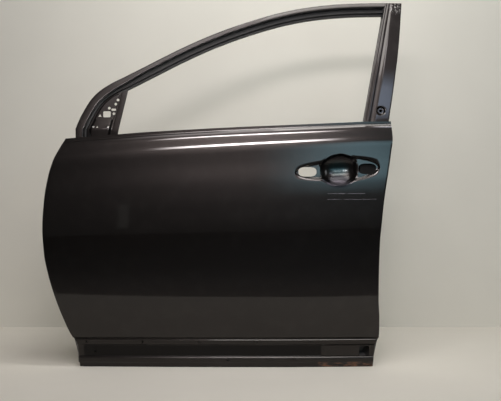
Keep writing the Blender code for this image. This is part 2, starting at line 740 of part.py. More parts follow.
def handle_outline(inset=0):
    """Outline of the handle pan: a bowl with a lobe at each end, tilted up to the rear."""
    def half_height(x):
        reach = PAN_REAR_REACH if x > 0 else PAN_FRONT_REACH
        height = LOBE_REAR_HEIGHT if x > 0 else LOBE_FRONT_HEIGHT
        lobe = height * max(0, 1 - (x / reach) ** 2) ** LOBE_POWER_SHARE
        bowl = BOWL_HALF_HEIGHT * max(0, 1 - (x / BOWL_HALF_LENGTH) ** 2) ** BOWL_POWER_SHARE
        return max(lobe, bowl) * (
            1 + (min(lobe, bowl) / max(lobe, bowl, GAP)) ** PAN_BLEND_POWER) ** (1 / PAN_BLEND_POWER)

    top, bottom = [], []
    for i in range(PAN_POINTS + 1):
        turn = math.pi * i / PAN_POINTS
        middle = (PAN_REAR_REACH - PAN_FRONT_REACH) / 2
        x = middle + (PAN_REAR_REACH + PAN_FRONT_REACH) / 2 * math.cos(turn)
        top.append((x, half_height(x)))
        bottom.append((x, -half_height(x)))
    flat = [Vector(point) for point in top]
    flat += [Vector(point) for point in reversed(bottom[1:-1])]
    for point in flat:
        reach = PAN_REAR_REACH if point.x > 0 else PAN_FRONT_REACH
        point.x *= 1 - inset / reach
        point.y *= 1 - inset / (abs(point.y) + PAN_EASE_SHARE * inset + GAP)
    cosine, sine = math.cos(PAN_TILT), math.sin(PAN_TILT)
    return [
        Vector((PAN_X + p.x * cosine - p.y * sine, PAN_Z + p.x * sine + p.y * cosine)) for p in flat]


def handle_pan():
    """The stamped pan as a sheet of its own, which a union then makes one with the skin."""
    outline = handle_outline()
    middle = Vector((PAN_X, PAN_Z))
    rings = [
        [(p, skin_y(p.x, p.y) - PAN_LIP) for p in outline],
        [(p, skin_y(p.x, p.y) + PAN_WALL_DEPTH) for p in handle_outline(PAN_WALL_INSET)],
        [(p, skin_y(p.x, p.y) + LOBE_DEPTH) for p in handle_outline(PAN_FLOOR_INSET)]]
    floor = skin_y(PAN_X, PAN_Z)
    radii = [(p - middle).length for p, _ in rings[-1]]
    for radius_share, depth_share in BOWL_RING_SHARES:
        ring = []
        for i, (p, _) in enumerate(rings[2]):
            way = (p - middle).normalized()
            bowl = 1 / math.hypot(way.x / BOWL_HALF_LENGTH, way.y / BOWL_HALF_HEIGHT)
            radii[i] = min(radii[i] * RING_LIMIT_SHARE, bowl * radius_share)
            ring.append((middle + way * radii[i], floor + BOWL_DEPTH * depth_share))
        rings.append(ring)
    return dish(rings, (PAN_X, floor + BOWL_DEPTH, PAN_Z))


def handle_hole(offset):
    """Outline of one of the two holes in the pan's lobes."""
    x = PAN_X + offset * math.cos(PAN_TILT)
    z = PAN_Z + offset * math.sin(PAN_TILT)
    points = []
    for i in range(2 * HOLE_SIDES):
        turn = math.pi * i / HOLE_SIDES
        across = math.copysign(abs(math.cos(turn)) ** HANDLE_HOLE_POWER_SHARE, math.cos(turn))
        along = math.copysign(abs(math.sin(turn)) ** HANDLE_HOLE_POWER_SHARE, math.sin(turn))
        points.append(Vector((
            x + across * HANDLE_HOLE_LENGTH / 2, z + along * HANDLE_HOLE_HEIGHT / 2)))
    return points


def outer_panel():
    rows = skin_rows()
    columns = SKIN_COLUMN_SHARES

    def place(i, j):
        z = rows[j](columns[i])
        x = mix(front_edge(z), rear_edge(z), columns[i])
        return Vector((x, skin_y(x, z), z))

    work = grid(len(columns), len(rows), place)
    work.verts.ensure_lookup_table()
    first = len(LAND_SHARES)
    last = first + SKIN_ROWS + len(SKIN_BLEND_SHARES)
    span = len(columns)
    front = {work.verts[j * span] for j in range(first, last + 1)}
    rear = {work.verts[j * span + span - 1] for j in range(first, last + 1)}
    bottom = {work.verts[i] for i in range(2, span - 2)}
    add_hem(work, front, Vector((1, 0, 0)))
    add_hem(work, rear, Vector((-1, 0, 0)))
    add_hem(work, bottom, Vector((0, 0, 1)))
    made = thicken(add_part(work, "outer_panel", PAINT, 0.28, 0.7), SHEET)

    outline = handle_outline()
    y = skin_y(PAN_X, PAN_Z)
    void = bmesh.new()
    add_prism(void, outline, y - BOWL_DEPTH, y + BOWL_DEPTH)
    boolean(made, void, "DIFFERENCE", "cut_handle_mouth")
    pan = boolean(made, handle_pan(), "UNION", "form_handle_pan")
    thicken(pan, PAN_SHEET)

    holes = bmesh.new()
    for offset in (-HANDLE_FRONT_HOLE_OFFSET, HANDLE_REAR_HOLE_OFFSET):
        hole = handle_hole(offset)
        near = skin_y(PAN_X + offset, PAN_Z) + PAN_WALL_DEPTH
        add_prism(holes, hole, near, near + BOWL_DEPTH)
    for i in range(CLIP_COUNT):
        x = CLIP_FIRST_X + CLIP_PITCH * i
        centre = (x, skin_y(x, CLIP_HEIGHT), CLIP_HEIGHT)
        add_round(holes, centre, CLIP_RADIUS, "Y", 2 * OVERRUN)
    for along, up in LAND_HOLE_SHARES:
        x, z = along * BODY_LENGTH, up * LAND_HEIGHT
        add_round(holes, (x, skin_y(x, z), z), LAND_HOLE_RADIUS, "Y", 2 * OVERRUN)
    low = Vector((
        LAND_WINDOW_X - LAND_WINDOW_SIDE / 2, skin_y(LAND_WINDOW_X, LAND_WINDOW_Z) - OVERRUN,
        LAND_WINDOW_Z - LAND_WINDOW_HEIGHT / 2))
    add_box(holes, low, low + Vector((LAND_WINDOW_SIDE, 2 * OVERRUN, LAND_WINDOW_HEIGHT)))
    boolean(made, holes, "DIFFERENCE", "cut_skin_holes")
    return made


def wall_column(edge_x, corner_x, z, inward):
    """Five points of a side wall's section, from the flange's edge to the web."""
    ridge = belt_z(length_share(edge_x, z)) - RIDGE_HEIGHT
    held = HEM_LOW - HEM_LIFT / 2 - GAP <= z <= ridge + HEM_LIFT / 2 + GAP
    flange = STACK if held else OPEN_FLANGE_SET
    face = sheet_y if held else plain_skin_y
    points = []
    for x in (edge_x + inward * HEM_REACH, corner_x - inward * FLANGE_END):
        points.append(Vector((x, face(x, z) + flange, z)))
    points.append(Vector((corner_x, points[-1].y + WALL_ROUND, z)))
    points.append(Vector((corner_x, WEB_Y - WEB_ROUND_Y, z)))
    points.append(Vector((corner_x + inward * WEB_ROUND, WEB_Y, z)))
    return points


def bottom_column(x, flange):
    """The same section for the bottom wall."""
    points = []
    for z in (HEM_REACH, BOTTOM_FLANGE):
        points.append(Vector((x, skin_y(x, z) + flange, z)))
    points.append(Vector((x, points[-1].y + WALL_ROUND, BOTTOM_WALL_FOOT)))
    points.append(Vector((x, WEB_Y - WEB_ROUND_Y, BOTTOM_WALL_TOP)))
    points.append(Vector((x, WEB_Y, BOTTOM_WEB)))
    return points


def corner_column(corner_x, edge_x, inward):
    """The section at a lower corner, where a side wall meets the bottom wall."""
    side = wall_column(edge_x, corner_x, LAND_HEIGHT, inward)
    bottom = bottom_column(corner_x, OPEN_FLANGE_SET)
    return [
        Vector((a.x, b.y, b.z)) for a, b in zip(side, bottom)]


def add_loop(work, outline, y):
    verts = [work.verts.new((point.x, y, point.y)) for point in outline]
    edges = [work.edges.new(pair) for pair in zip(verts, verts[1:] + verts[:1])]
    return verts, edges


def join_loops(work, first, second):
    for i in range(len(first)):
        j = (i + 1) % len(first)
        work.faces.new((first[i], first[j], second[j], second[i]))


def add_lipped_hole(work, outline, y):
    """Edge of a hole in a flat web with a lip pressed out of it; returns the hole's own edges."""
    verts, edges = add_loop(work, outline, y)
    lip, _ = add_loop(work, offset_outline(outline, LIP_INSET), y + LIP_HEIGHT)
    join_loops(work, verts, lip)
    return edges


def inner_panel():
    columns = [
        wall_column(front_edge(z), wall_x(z, front_edge, front_pads(), 1), z, 1)
        for z in wall_stations(front_pads(), 0)]
    columns.append(corner_column(front_edge(LAND_HEIGHT) + WALL_INSET, front_edge(0), 1))
    for share in BOTTOM_COLUMN_SHARES:
        x = mix(front_edge(0), rear_edge(0), share)
        columns.append(bottom_column(x, STACK))
    columns.append(corner_column(rear_edge(0) - WALL_INSET, rear_edge(0), -1))
    columns += [
        wall_column(rear_edge(z), wall_x(z, rear_edge, rear_pads(), -1), z, -1)
        for z in reversed(wall_stations(rear_pads(), 1))]
    count = len(columns)
    work = grid(count, len(columns[0]), lambda i, j: columns[i][j])
    work.verts.ensure_lookup_table()

    rim = [work.verts[(len(columns[0]) - 1) * count + i] for i in range(count)]
    top = []
    ahead, behind = rim[0].co.x, rim[-1].co.x
    for share in (1, *reversed(PANEL_TOP_SHARES), 0):
        x = mix(ahead, behind, share)
        top.append(work.verts.new((x, WEB_Y, web_top_z(x))))
    loop = rim + top
    edges = []
    for a, b in zip(loop, loop[1:] + loop[:1]):
        edges.append(work.edges.get((a, b)) or work.edges.new((a, b)))

    field = rounded_outline([body_place(shares) for shares in FIELD_SHARES], FIELD_CORNER)
    high, high_edges = add_loop(work, field, WEB_Y)
    low, low_edges = add_loop(work, offset_outline(field, FIELD_SLOPE), FIELD_Y)
    join_loops(work, high, low)
    edges += high_edges
    for shares in TRIM_HOLE_SHARES:
        outline = circle_outline(*body_place(shares), TRIM_HOLE_RADIUS, TRIM_HOLE_SIDES)
        edges += add_loop(work, outline, WEB_Y)[1]
    bmesh.ops.triangle_fill(work, edges=edges, use_beauty=True, normal=(0, 1, 0))

    for outline in (
            rounded_outline([body_place(shares) for shares in SERVICE_SHARES], SERVICE_CORNER),
            rounded_outline([body_place(shares) for shares in REAR_OPENING_SHARES], REAR_OPENING_CORNER),
            circle_outline(*body_place(SPEAKER_SHARES), SPEAKER_RADIUS, SPEAKER_SIDES),
            circle_outline(*body_place(MOTOR_SHARES), MOTOR_RADIUS, MOTOR_SIDES)):
        low_edges += add_lipped_hole(work, outline, FIELD_Y)
    bmesh.ops.triangle_fill(work, edges=low_edges, use_beauty=True, normal=(0, 1, 0))

    made = thicken(add_part(work, "inner_panel", PRIMER, 0.45, 0.3), SHEET)
    holes = bmesh.new()
    add_hinge_holes(holes, UPPER_PAD_X, UPPER_HINGE_Z, HINGE_HOLE_RADIUS)
    add_hinge_holes(holes, LOWER_PAD_X, LOWER_HINGE_Z, HINGE_HOLE_RADIUS)
    add_check_holes(holes)
    add_latch_holes(holes)
    for share in DRAIN_HOLE_SHARES:
        x = mix(front_edge(0), rear_edge(0), share)
        z = (BOTTOM_WALL_FOOT + BOTTOM_WALL_TOP) / 2
        y = (skin_y(x, BOTTOM_FLANGE) + WEB_Y) / 2
        low = Vector((x - DRAIN_LENGTH / 2, y - DRAIN_WIDTH / 2, z - 2 * OVERRUN))
        add_box(holes, low, low + Vector((DRAIN_LENGTH, DRAIN_WIDTH, 4 * OVERRUN)))
    boolean(made, holes, "DIFFERENCE", "cut_inner_panel_holes")
    return made


def add_hinge_holes(work, pad_x, middle_z, radius):
    for side in (-1, 1):
        centre = (pad_x, HINGE_Y, middle_z + side * HINGE_HOLE_PITCH / 2)
        add_round(work, centre, radius, "X", 6 * OVERRUN)


def add_check_holes(work):
    low = Vector((
        CHECK_PAD_X - OVERRUN, HINGE_Y - CHECK_SLOT_WIDTH / 2, CHECK_Z - CHECK_SLOT_HEIGHT / 2))
    add_box(work, low, low + Vector((3 * OVERRUN, CHECK_SLOT_WIDTH, CHECK_SLOT_HEIGHT)))
    for side in (-1, 1):
        centre = (CHECK_PAD_X, HINGE_Y, CHECK_Z + side * CHECK_HOLE_PITCH / 2)
        add_round(work, centre, CHECK_HOLE_RADIUS, "X", 3 * OVERRUN)


def add_latch_holes(work):
    low = Vector((
        latch_pad_x() - 2 * OVERRUN, HINGE_Y - LATCH_SLOT_WIDTH / 2, LATCH_Z - LATCH_SLOT_HEIGHT / 2))
    add_box(work, low, low + Vector((3 * OVERRUN, LATCH_SLOT_WIDTH, LATCH_SLOT_HEIGHT)))
    for side in (-1, 1):
        centre = (latch_pad_x(), HINGE_Y, LATCH_Z + side * LATCH_HOLE_PITCH / 2)
        add_round(work, centre, LATCH_HOLE_RADIUS, "X", 4 * OVERRUN)


def arch_path():
    """Outer edge of the rail over the window, from its foot inside the door to the rear post."""
    curve = [
        (share * BODY_LENGTH, BELT_HEIGHT + rise * FRAME_RISE) for share, rise in ARCH_SHARES]
    curve[0] = (curve[0][0], FRAME_BEND_Z)
    path = smooth_path(curve, ARCH_STATIONS)
    foot = Vector((path[0].x, FRAME_FOOT_Z))
    return [foot] + path


def arch_inset(distance):
    """The arch moved in towards the window, its ends kept upright and against the rear post."""
    path = arch_path()
    inset = offset_outline(path, -distance, closed=False)
    for i in (0, 1):
        inset[i] = path[i] + Vector((distance, 0))
    end = inset[-1]
    for i in range(len(inset)):
        limit = pillar_inner_x(inset[i].y) - POST_SEAT
        inset[i].x = min(inset[i].x, limit)
    end.x = pillar_inner_x(end.y) - POST_SEAT
    return inset


def rail_face(i):
    """Width of the rail's painted face at a station, wider beside the mirror corner."""
    share = i / ARCH_STATIONS
    span = RAIL_FACE_END_SHARE - RAIL_FACE_START_SHARE
    blend = min(1, max(0, (share - RAIL_FACE_START_SHARE) / span))
    return mix(RAIL_FACE_FOOT, RAIL_FACE, blend)


def rail_sheet(name, section):
    """Sheet swept along the arch; section(station) lists distance in from the edge and depth."""
    sections = [section(i) for i in range(ARCH_STATIONS + 1)]

    def place(i, j):
        distance, depth = sections[j][i]
        point = arch_inset(distance)[j]
        return Vector((point.x, frame_y(point.y) + depth, point.y))

    work = grid(len(sections[0]), len(sections), place)
    return thicken(add_part(work, name, PAINT, 0.3, 0.6), SHEET)


def header_outer():
    def section(i):
        face = rail_face(i)
        return (
            (0, RAIL_FLANGE_DEPTH), (0, RAIL_LIP), (RAIL_LIP, 0), (face - RAIL_LIP, 0),
            (face, RAIL_LIP), (face, RAIL_RETURN_DEPTH))
    return rail_sheet("header_outer", section)


def header_inner():
    def section(i):
        face = rail_face(i)
        return (
            (face + STACK, RAIL_RETURN_DEPTH - CHANNEL_DEPTH / 2),
            (face + STACK, CHANNEL_DEPTH), (RAIL_WIDTH - RAIL_STRIP / 2 - RAIL_LIP, CHANNEL_DEPTH),
            (RAIL_WIDTH - RAIL_STRIP / 2, STRIP_DEPTH), (RAIL_WIDTH, STRIP_DEPTH),
            (RAIL_WIDTH, FRAME_DEPTH), (STACK + RAIL_LIP, FRAME_DEPTH),
            (STACK, FRAME_DEPTH - RAIL_LIP), (STACK, RAIL_FLANGE_DEPTH - CHANNEL_DEPTH / 2))
    return rail_sheet("header_inner", section)


def pillar_heights(foot):
    rows = [foot, BELT_HEIGHT - PANEL_TOP_DROP, FRAME_BEND_Z]
    rows += [BELT_HEIGHT + share * FRAME_RISE for share in PILLAR_ROW_SHARES]
    return rows


def pillar_section(z):
    """Section of the post's painted face at a height: place in X, depth behind the frame's face."""
    inner, outer = pillar_inner_x(z), pillar_outer_x(z)
    rib = inner + PILLAR_STRIP + SHEET
    crease = mix(inner, outer, PILLAR_CREASE_SHARE)
    return (
        (inner, RAIL_RETURN_DEPTH), (inner, PILLAR_STRIP_DEPTH),
        (inner + PILLAR_STRIP, PILLAR_STRIP_DEPTH), (rib, 0),
        (rib + PILLAR_RIB_WIDTH, 0), (rib + PILLAR_RIB_WIDTH * 3 / 2, PILLAR_RIB_DEPTH),
        (rib + PILLAR_RIB_WIDTH * 2, 0), (crease - PILLAR_STRIP / 2, PILLAR_RIB_DEPTH),
        (crease, 0), (outer - RAIL_LIP, PILLAR_OUTER_SET),
        (outer, PILLAR_OUTER_SET + RAIL_LIP), (outer, PILLAR_FLANGE_DEPTH))


def pillar_dimple(x, z):
    """Round dimple pressed in the post's face, as a sheet that a union makes one with it."""
    def face(point):
        return frame_y(point.y) + line_value(pillar_section(point.y)[1:], point.x)

    floor = frame_y(z) + DIMPLE_DEPTH
    rim = circle_outline(x, z, DIMPLE_RADIUS, DIMPLE_SIDES)
    wall = circle_outline(x, z, DIMPLE_RADIUS - PAN_WALL_INSET, DIMPLE_SIDES)
    base = circle_outline(x, z, DIMPLE_FLOOR_RADIUS, DIMPLE_SIDES)
    rings = [
        [(point, face(point) - PAN_LIP) for point in rim],
        [(point, face(point) + PAN_WALL_DEPTH) for point in wall],
        [(point, frame_y(point.y) + DIMPLE_DEPTH) for point in base]]
    return dish(rings, (x, floor, z))


def lock_pillar_outer():
    rows = pillar_heights(FRAME_FOOT_Z)
    rows += [FRAME_TOP_Z, FRAME_TOP_Z]
    sections = [pillar_section(z) for z in rows]
    last = len(rows) - 1

    def place(i, j):
        x, depth = sections[j][i]
        if j == last:
            depth += PILLAR_CAP_DEPTH
        return Vector((x, frame_y(rows[j]) + depth, rows[j]))

    work = grid(len(sections[0]), len(rows), place)
    made = thicken(add_part(work, "lock_pillar_outer", PAINT, 0.3, 0.6), SHEET)
    z = BELT_HEIGHT + PILLAR_HOLE_RISE
    x = mix(pillar_inner_x(z), pillar_outer_x(z), PILLAR_HOLE_SHARE)
    mouth = bmesh.new()
    add_prism(mouth, circle_outline(x, z, DIMPLE_RADIUS, DIMPLE_SIDES), frame_y(z) - PILLAR_FLANGE_DEPTH,
              frame_y(z) + PILLAR_FLANGE_DEPTH / 2)
    boolean(made, mouth, "DIFFERENCE", "cut_dimple_mouth")
    thicken(boolean(made, pillar_dimple(x, z), "UNION", "form_dimple"), PAN_SHEET)
    holes = bmesh.new()
    add_round(holes, (x, frame_y(z) + DIMPLE_DEPTH, z), PILLAR_HOLE_RADIUS, "Y", 2 * OVERRUN)
    boolean(made, holes, "DIFFERENCE", "cut_pillar_hole")
    return made


def lock_pillar_inner():
    top = FRAME_TOP_Z - STACK - SEAT
    rows = pillar_heights(FRAME_FOOT_Z) + [top]

    def section(z):
        inner, outer = pillar_inner_x(z), pillar_outer_x(z)
        return (
            (outer - STACK, PILLAR_FLANGE_DEPTH / 2), (outer - STACK, FRAME_DEPTH - RAIL_LIP),
            (outer - STACK - RAIL_LIP, FRAME_DEPTH), (inner + SHEET, FRAME_DEPTH),
            (inner + SHEET, FRAME_DEPTH - 2 * RAIL_LIP))

    sections = [section(z) for z in rows]

    def place(i, j):
        x, depth = sections[j][i]
        return Vector((x, frame_y(rows[j]) + depth, rows[j]))

    work = grid(len(sections[0]), len(rows), place)
    return thicken(add_part(work, "lock_pillar_inner", PAINT, 0.4, 0.4), SHEET)


def frame_corner_gusset():
    """Flat plate on the inboard side, round the corner between rail and post."""
    top = FRAME_TOP_Z - RAIL_LIP - 2 * STACK
    corner_x = pillar_inner_x(FRAME_TOP_Z) + GUSSET_WIDTH
    tip_x = corner_x - GUSSET_ARM - GUSSET_WIDTH
    foot_x = pillar_inner_x(top - GUSSET_ARM)
    outline = [
        (tip_x, top - GUSSET_WIDTH), (pillar_inner_x(top - GUSSET_WIDTH), top - GUSSET_WIDTH),
        (foot_x + SHEET + RAIL_LIP, top - GUSSET_ARM), (foot_x + GUSSET_WIDTH, top - GUSSET_ARM),
        (corner_x, top - RAIL_LIP), (tip_x, top - RAIL_LIP - SHEET)]
    depth = FRAME_DEPTH + LEAN_STACK
    work = bmesh.new()
    work.faces.new([work.verts.new((x, frame_y(z) + depth, z)) for x, z in outline])
    return thicken(add_part(work, "frame_corner_gusset", PRIMER, 0.45, 0.3), SHEET)


def post_x(z):
    """Window side of the division post at a height."""
    arch_foot = ARCH_SHARES[0][0] * BODY_LENGTH
    return arch_foot + POST_FROM_ARCH + GLASS_RAKE * (z - BELT_HEIGHT)


def under_arch_z(offset):
    """Height where the line at this offset from the post meets the underside of the rail."""
    edge = arch_inset(RAIL_WIDTH + SHEET / 2 + POST_SEAT)
    table = [(point.x, point.y) for point in edge[2:]]
    z = BELT_HEIGHT
    for _ in range(SEARCH_STEPS):
        z = line_value(table, post_x(z) + offset)
    return z


def front_glass_guide():
    section = (
        (0, POST_OUTER_DEPTH), (-POST_WIDTH, POST_OUTER_DEPTH), (-POST_WIDTH, GUIDE_INNER_DEPTH),
        (0, GUIDE_INNER_DEPTH))

    def place(i, j):
        offset, depth = section[i]
        z = (GUIDE_FOOT_Z, FRAME_BEND_Z, under_arch_z(offset))[j]
        return Vector((post_x(z) + offset, frame_y(z) + depth, z))

    work = grid(len(section), 3, place)
    return thicken(add_part(work, "front_glass_guide", PAINT, 0.35, 0.5), SHEET)


def rear_glass_guide():
    section = (
        (0, GUIDE_OUTER_DEPTH), (GUIDE_WIDTH, GUIDE_OUTER_DEPTH), (GUIDE_WIDTH, GUIDE_INNER_DEPTH),
        (0, GUIDE_INNER_DEPTH))

    def place(i, j):
        offset, depth = section[i]
        z = (GUIDE_FOOT_Z, FRAME_BEND_Z, BELT_HEIGHT + GUIDE_TOP_SHARE * FRAME_RISE)[j]
        return Vector((pillar_inner_x(z) + offset, frame_y(z) + depth, z))

    work = grid(len(section), 3, place)
    return thicken(add_part(work, "rear_glass_guide", PRIMER, 0.45, 0.3), SHEET)


def guide_bracket(name, leg_x, side):
    """Stepped bracket from a guide's inboard leg to the inner panel's web."""
    near = FRAME_FOOT_Y + GUIDE_INNER_DEPTH + STACK
    far = WEB_Y - STACK
    steps = (
        (0, near), (BRACKET_LEG, near), (BRACKET_LEG + BRACKET_STEP, far),
        (BRACKET_LEG + BRACKET_STEP + BRACKET_FOOT, far))

    def place(i, j):
        offset, y = steps[i]
        z = GUIDE_FOOT_Z + SEAT + BRACKET_HEIGHT * j
        return Vector((leg_x + side * offset, y, z))

    work = grid(len(steps), 2, place)
    return thicken(add_part(work, name, STEEL, 0.5, 0.6), SHEET)


def arch_side_x(z, distance):
    """The arch's inner side as X at a height, for the mirror corner's pieces."""
    return line_value([(point.y, point.x) for point in arch_inset(distance)], z)


def sail_edges(z):
    return arch_side_x(z, SAIL_INSET), post_x(z) - POST_WIDTH - SAIL_POST_CLEARANCE


def sail_tip_z():
    """Height where the mirror corner has narrowed to its tip."""
    low, high = BELT_HEIGHT, FRAME_TOP_Z
    for _ in range(SEARCH_STEPS):
        middle = (low + high) / 2
        front, rear = sail_edges(middle)
        if rear - front > SAIL_TIP_WIDTH:
            low = middle
        else:
            high = middle
    return low


def sail_place(shares):
    """Point in X and Z from its shares of the mirror corner's width and height."""
    z = mix(BELT_HEIGHT, sail_tip_z(), shares[1])
    return mix(*sail_edges(z), shares[0]), z


def mirror_sail_plate():
    tip = sail_tip_z()
    heights = [FRAME_FOOT_Z + RAIL_WIDTH, FRAME_BEND_Z]
    heights += [mix(FRAME_BEND_Z, tip, share) for share in SAIL_ROW_SHARES]

    def place(i, j):
        z = heights[j]
        front, rear = sail_edges(z)
        return Vector((mix(front, rear, i / 2), frame_y(z) + SAIL_DEPTH, z))

    work = grid(3, len(heights), place)
    made = thicken(add_part(work, "mirror_sail_plate", PAINT, 0.35, 0.5), SHEET)
    holes = bmesh.new()
    rounds = [(shares, SAIL_HOLE_RADIUS, HOLE_SIDES) for shares in SAIL_HOLE_SHARES]
    rounds += [(shares, MIRROR_HOLE_RADIUS, HOLE_SIDES) for shares in MIRROR_HOLE_SHARES]
    rounds.append((SAIL_NOTCH_SHARES, SAIL_NOTCH_RADIUS, 3))
    rounds.append((MIRROR_NOTCH_SHARES, MIRROR_NOTCH_RADIUS, 3))
    for shares, radius, sides in rounds:
        x, z = sail_place(shares)
        add_round(holes, (x, frame_y(z) + SAIL_DEPTH, z), radius, "Y", 3 * OVERRUN, sides)
    for shares, length, height in (
            (SAIL_WINDOW_SHARES, SAIL_WINDOW_SIDE, SAIL_WINDOW_HEIGHT),
            (SAIL_SLOT_SHARES, SAIL_SLOT_LENGTH, SAIL_SLOT_HEIGHT)):
        x, z = sail_place(shares)
        low = Vector((x - length / 2, frame_y(z) + SAIL_DEPTH - 2 * OVERRUN, z - height / 2))
        add_box(holes, low, low + Vector((length, 4 * OVERRUN, height)))
    boolean(made, holes, "DIFFERENCE", "cut_sail_holes")
    return made


def mirror_bracket():
    """Pressed plate in front of the sail plate, joggled back to it at both sides."""
    seat = SAIL_DEPTH - LEAN_STACK
    heights = (BELT_HEIGHT - MIRROR_PLATE_DROP, FRAME_BEND_Z, BELT_HEIGHT + MIRROR_PLATE_RISE)

    def place(i, j):
        z = heights[j]
        front, rear = sail_edges(z)
        x, set_out = (
            (front + SEAT, 0), (front + MIRROR_PLATE_FLANGE, 0),
            (front + 2 * MIRROR_PLATE_FLANGE, MIRROR_PLATE_SET),
            (rear - 2 * MIRROR_PLATE_FLANGE, MIRROR_PLATE_SET), (rear - MIRROR_PLATE_FLANGE, 0),
            (rear - SEAT, 0))[i]
        return Vector((x, frame_y(z) + seat - set_out, z))

    work = grid(6, len(heights), place)
    made = thicken(add_part(work, "mirror_bracket", PAINT, 0.35, 0.5), SHEET)
    holes = bmesh.new()
    rounds = [(shares, MIRROR_HOLE_RADIUS, HOLE_SIDES) for shares in MIRROR_HOLE_SHARES]
    rounds.append((MIRROR_NOTCH_SHARES, MIRROR_NOTCH_RADIUS, 3))
    for shares, radius, sides in rounds:
        x, z = sail_place(shares)
        centre = (x, frame_y(z) + seat - MIRROR_PLATE_SET, z)
        add_round(holes, centre, radius, "Y", 4 * OVERRUN, sides)
    boolean(made, holes, "DIFFERENCE", "cut_mirror_bracket_holes")
    return made


def mirror_weld_nuts():
    """Hexagon nuts behind the sail plate, round the mirror's three screws."""
    for i, shares in enumerate(MIRROR_HOLE_SHARES):
        x, z = sail_place(shares)
        lean = math.atan(FRAME_LEAN) if z > FRAME_BEND_Z else 0
        reach = (WELD_NUT_HEIGHT + SHEET) / 2 + GAP
        axis = Vector((0, math.cos(lean), -math.sin(lean)))
        centre = Vector((x, frame_y(z) + SAIL_DEPTH, z)) + axis * reach
        turn = Matrix.Rotation(math.pi / 2 - lean, 4, "X")
        work = bmesh.new()
        bmesh.ops.create_cone(
            work, cap_ends=True, segments=6, radius1=WELD_NUT_RADIUS, radius2=WELD_NUT_RADIUS,
            depth=WELD_NUT_HEIGHT, matrix=Matrix.Translation(centre) @ turn)
        made = add_part(work, "mirror_weld_nut_%d" % (i + 1), STEEL, 0.4, 0.8)
        hole = bmesh.new()
        bmesh.ops.create_cone(
            hole, cap_ends=True, segments=HOLE_SIDES, radius1=WELD_NUT_BORE, radius2=WELD_NUT_BORE,
            depth=3 * WELD_NUT_HEIGHT, matrix=Matrix.Translation(centre) @ turn)
        boolean(made, hole, "DIFFERENCE", "cut_nut_bore_%d" % (i + 1))


def belt_reinforcement_outer():
    start, end = BELT_RAIL_START_SHARE, BELT_RAIL_END_SHARE
    columns = [start, *(share for share in SKIN_COLUMN_SHARES if start < share < end), end]
    rail_y = FRAME_FOOT_Y - STACK
    drops = (*BELT_RAIL_FLANGE, *BELT_RAIL_WEB, *BELT_RAIL_FOOT)

    def place(i, j):
        share = columns[i]
        z = belt_z(share) - drops[j]
        x = mix(front_edge(z), rear_edge(z), share)
        y = rail_y if drops[j] in BELT_RAIL_WEB else skin_y(x, z) + STACK + SEAT
        return Vector((x, y, z))

    work = grid(len(columns), len(drops), place)
    return thicken(add_part(work, "belt_reinforcement_outer", PRIMER, 0.45, 0.3), SHEET)


def belt_reinforcement_inner():
    depths = (0, 0, INNER_RAIL_DEPTH, INNER_RAIL_DEPTH, 0, 0)

    def place(i, j):
        share = mix(INNER_RAIL_FRONT_SHARE, INNER_RAIL_REAR_SHARE, i / (INNER_RAIL_COLUMNS - 1))
        x = share * BODY_LENGTH
        z = web_top_z(x) - INNER_RAIL_DROP - INNER_RAIL_ROW_SHARES[j] * INNER_RAIL_HEIGHT
        return Vector((x, WEB_Y - STACK - depths[j], z))

    work = grid(INNER_RAIL_COLUMNS, len(depths), place)
    return thicken(add_part(work, "belt_reinforcement_inner", PRIMER, 0.45, 0.3), SHEET)


def beam_z(x):
    share = (x - BEAM_FRONT_X) / (BEAM_REAR_X - BEAM_FRONT_X)
    return mix(BEAM_FRONT_Z, BEAM_REAR_Z, share)


def impact_beam():
    start = Vector((BEAM_FRONT_X, BEAM_Y, BEAM_FRONT_Z))
    end = Vector((BEAM_REAR_X, BEAM_Y, BEAM_REAR_Z))
    turn = (end - start).to_track_quat("Z", "Y").to_matrix().to_4x4()
    work = bmesh.new()
    bmesh.ops.create_cone(
        work, cap_ends=False, segments=BEAM_SIDES, radius1=BEAM_RADIUS - BEAM_WALL / 2,
        radius2=BEAM_RADIUS - BEAM_WALL / 2, depth=(end - start).length,
        matrix=Matrix.Translation((start + end) / 2) @ turn)
    made = thicken(add_part(work, "impact_beam", PRIMER, 0.45, 0.5), BEAM_WALL)
    round_shading(made, math.radians(40))
    return made


def beam_bracket(name, tube_x, wall, inward):
    """Saddle over the beam's end that flattens towards the wall and turns up against it."""
    slope = (BEAM_FRONT_Z - BEAM_REAR_Z) / (BEAM_REAR_X - BEAM_FRONT_X)
    radius = (BEAM_RADIUS + SEAT + SHEET / 2) * math.hypot(1, slope)
    section = [(-radius - SADDLE_FLANGE, 0)]
    for i in range(SADDLE_POINTS + 1):
        turn = math.pi * i / SADDLE_POINTS
        section.append((-radius * math.cos(turn), radius * math.sin(turn)))
    section.append((radius + SADDLE_FLANGE, 0))

    def place(i, j):
        across, rise = section[j]
        seat_z = beam_z(tube_x) + across
        tab_x = wall(seat_z) + inward * (STACK + TAB_SEAT)
        x = (tube_x + inward * SADDLE_LENGTH, tube_x, tab_x + inward * TAB_RUN, tab_x, tab_x)[i]
        depth = (rise, rise, 0, 0, TAB_DEPTH)[i]
        return Vector((x, BEAM_Y + depth, beam_z(x if i < 2 else tube_x) + across))

    work = grid(5, len(section), place)
    return thicken(add_part(work, name, PRIMER, 0.45, 0.3), SHEET)


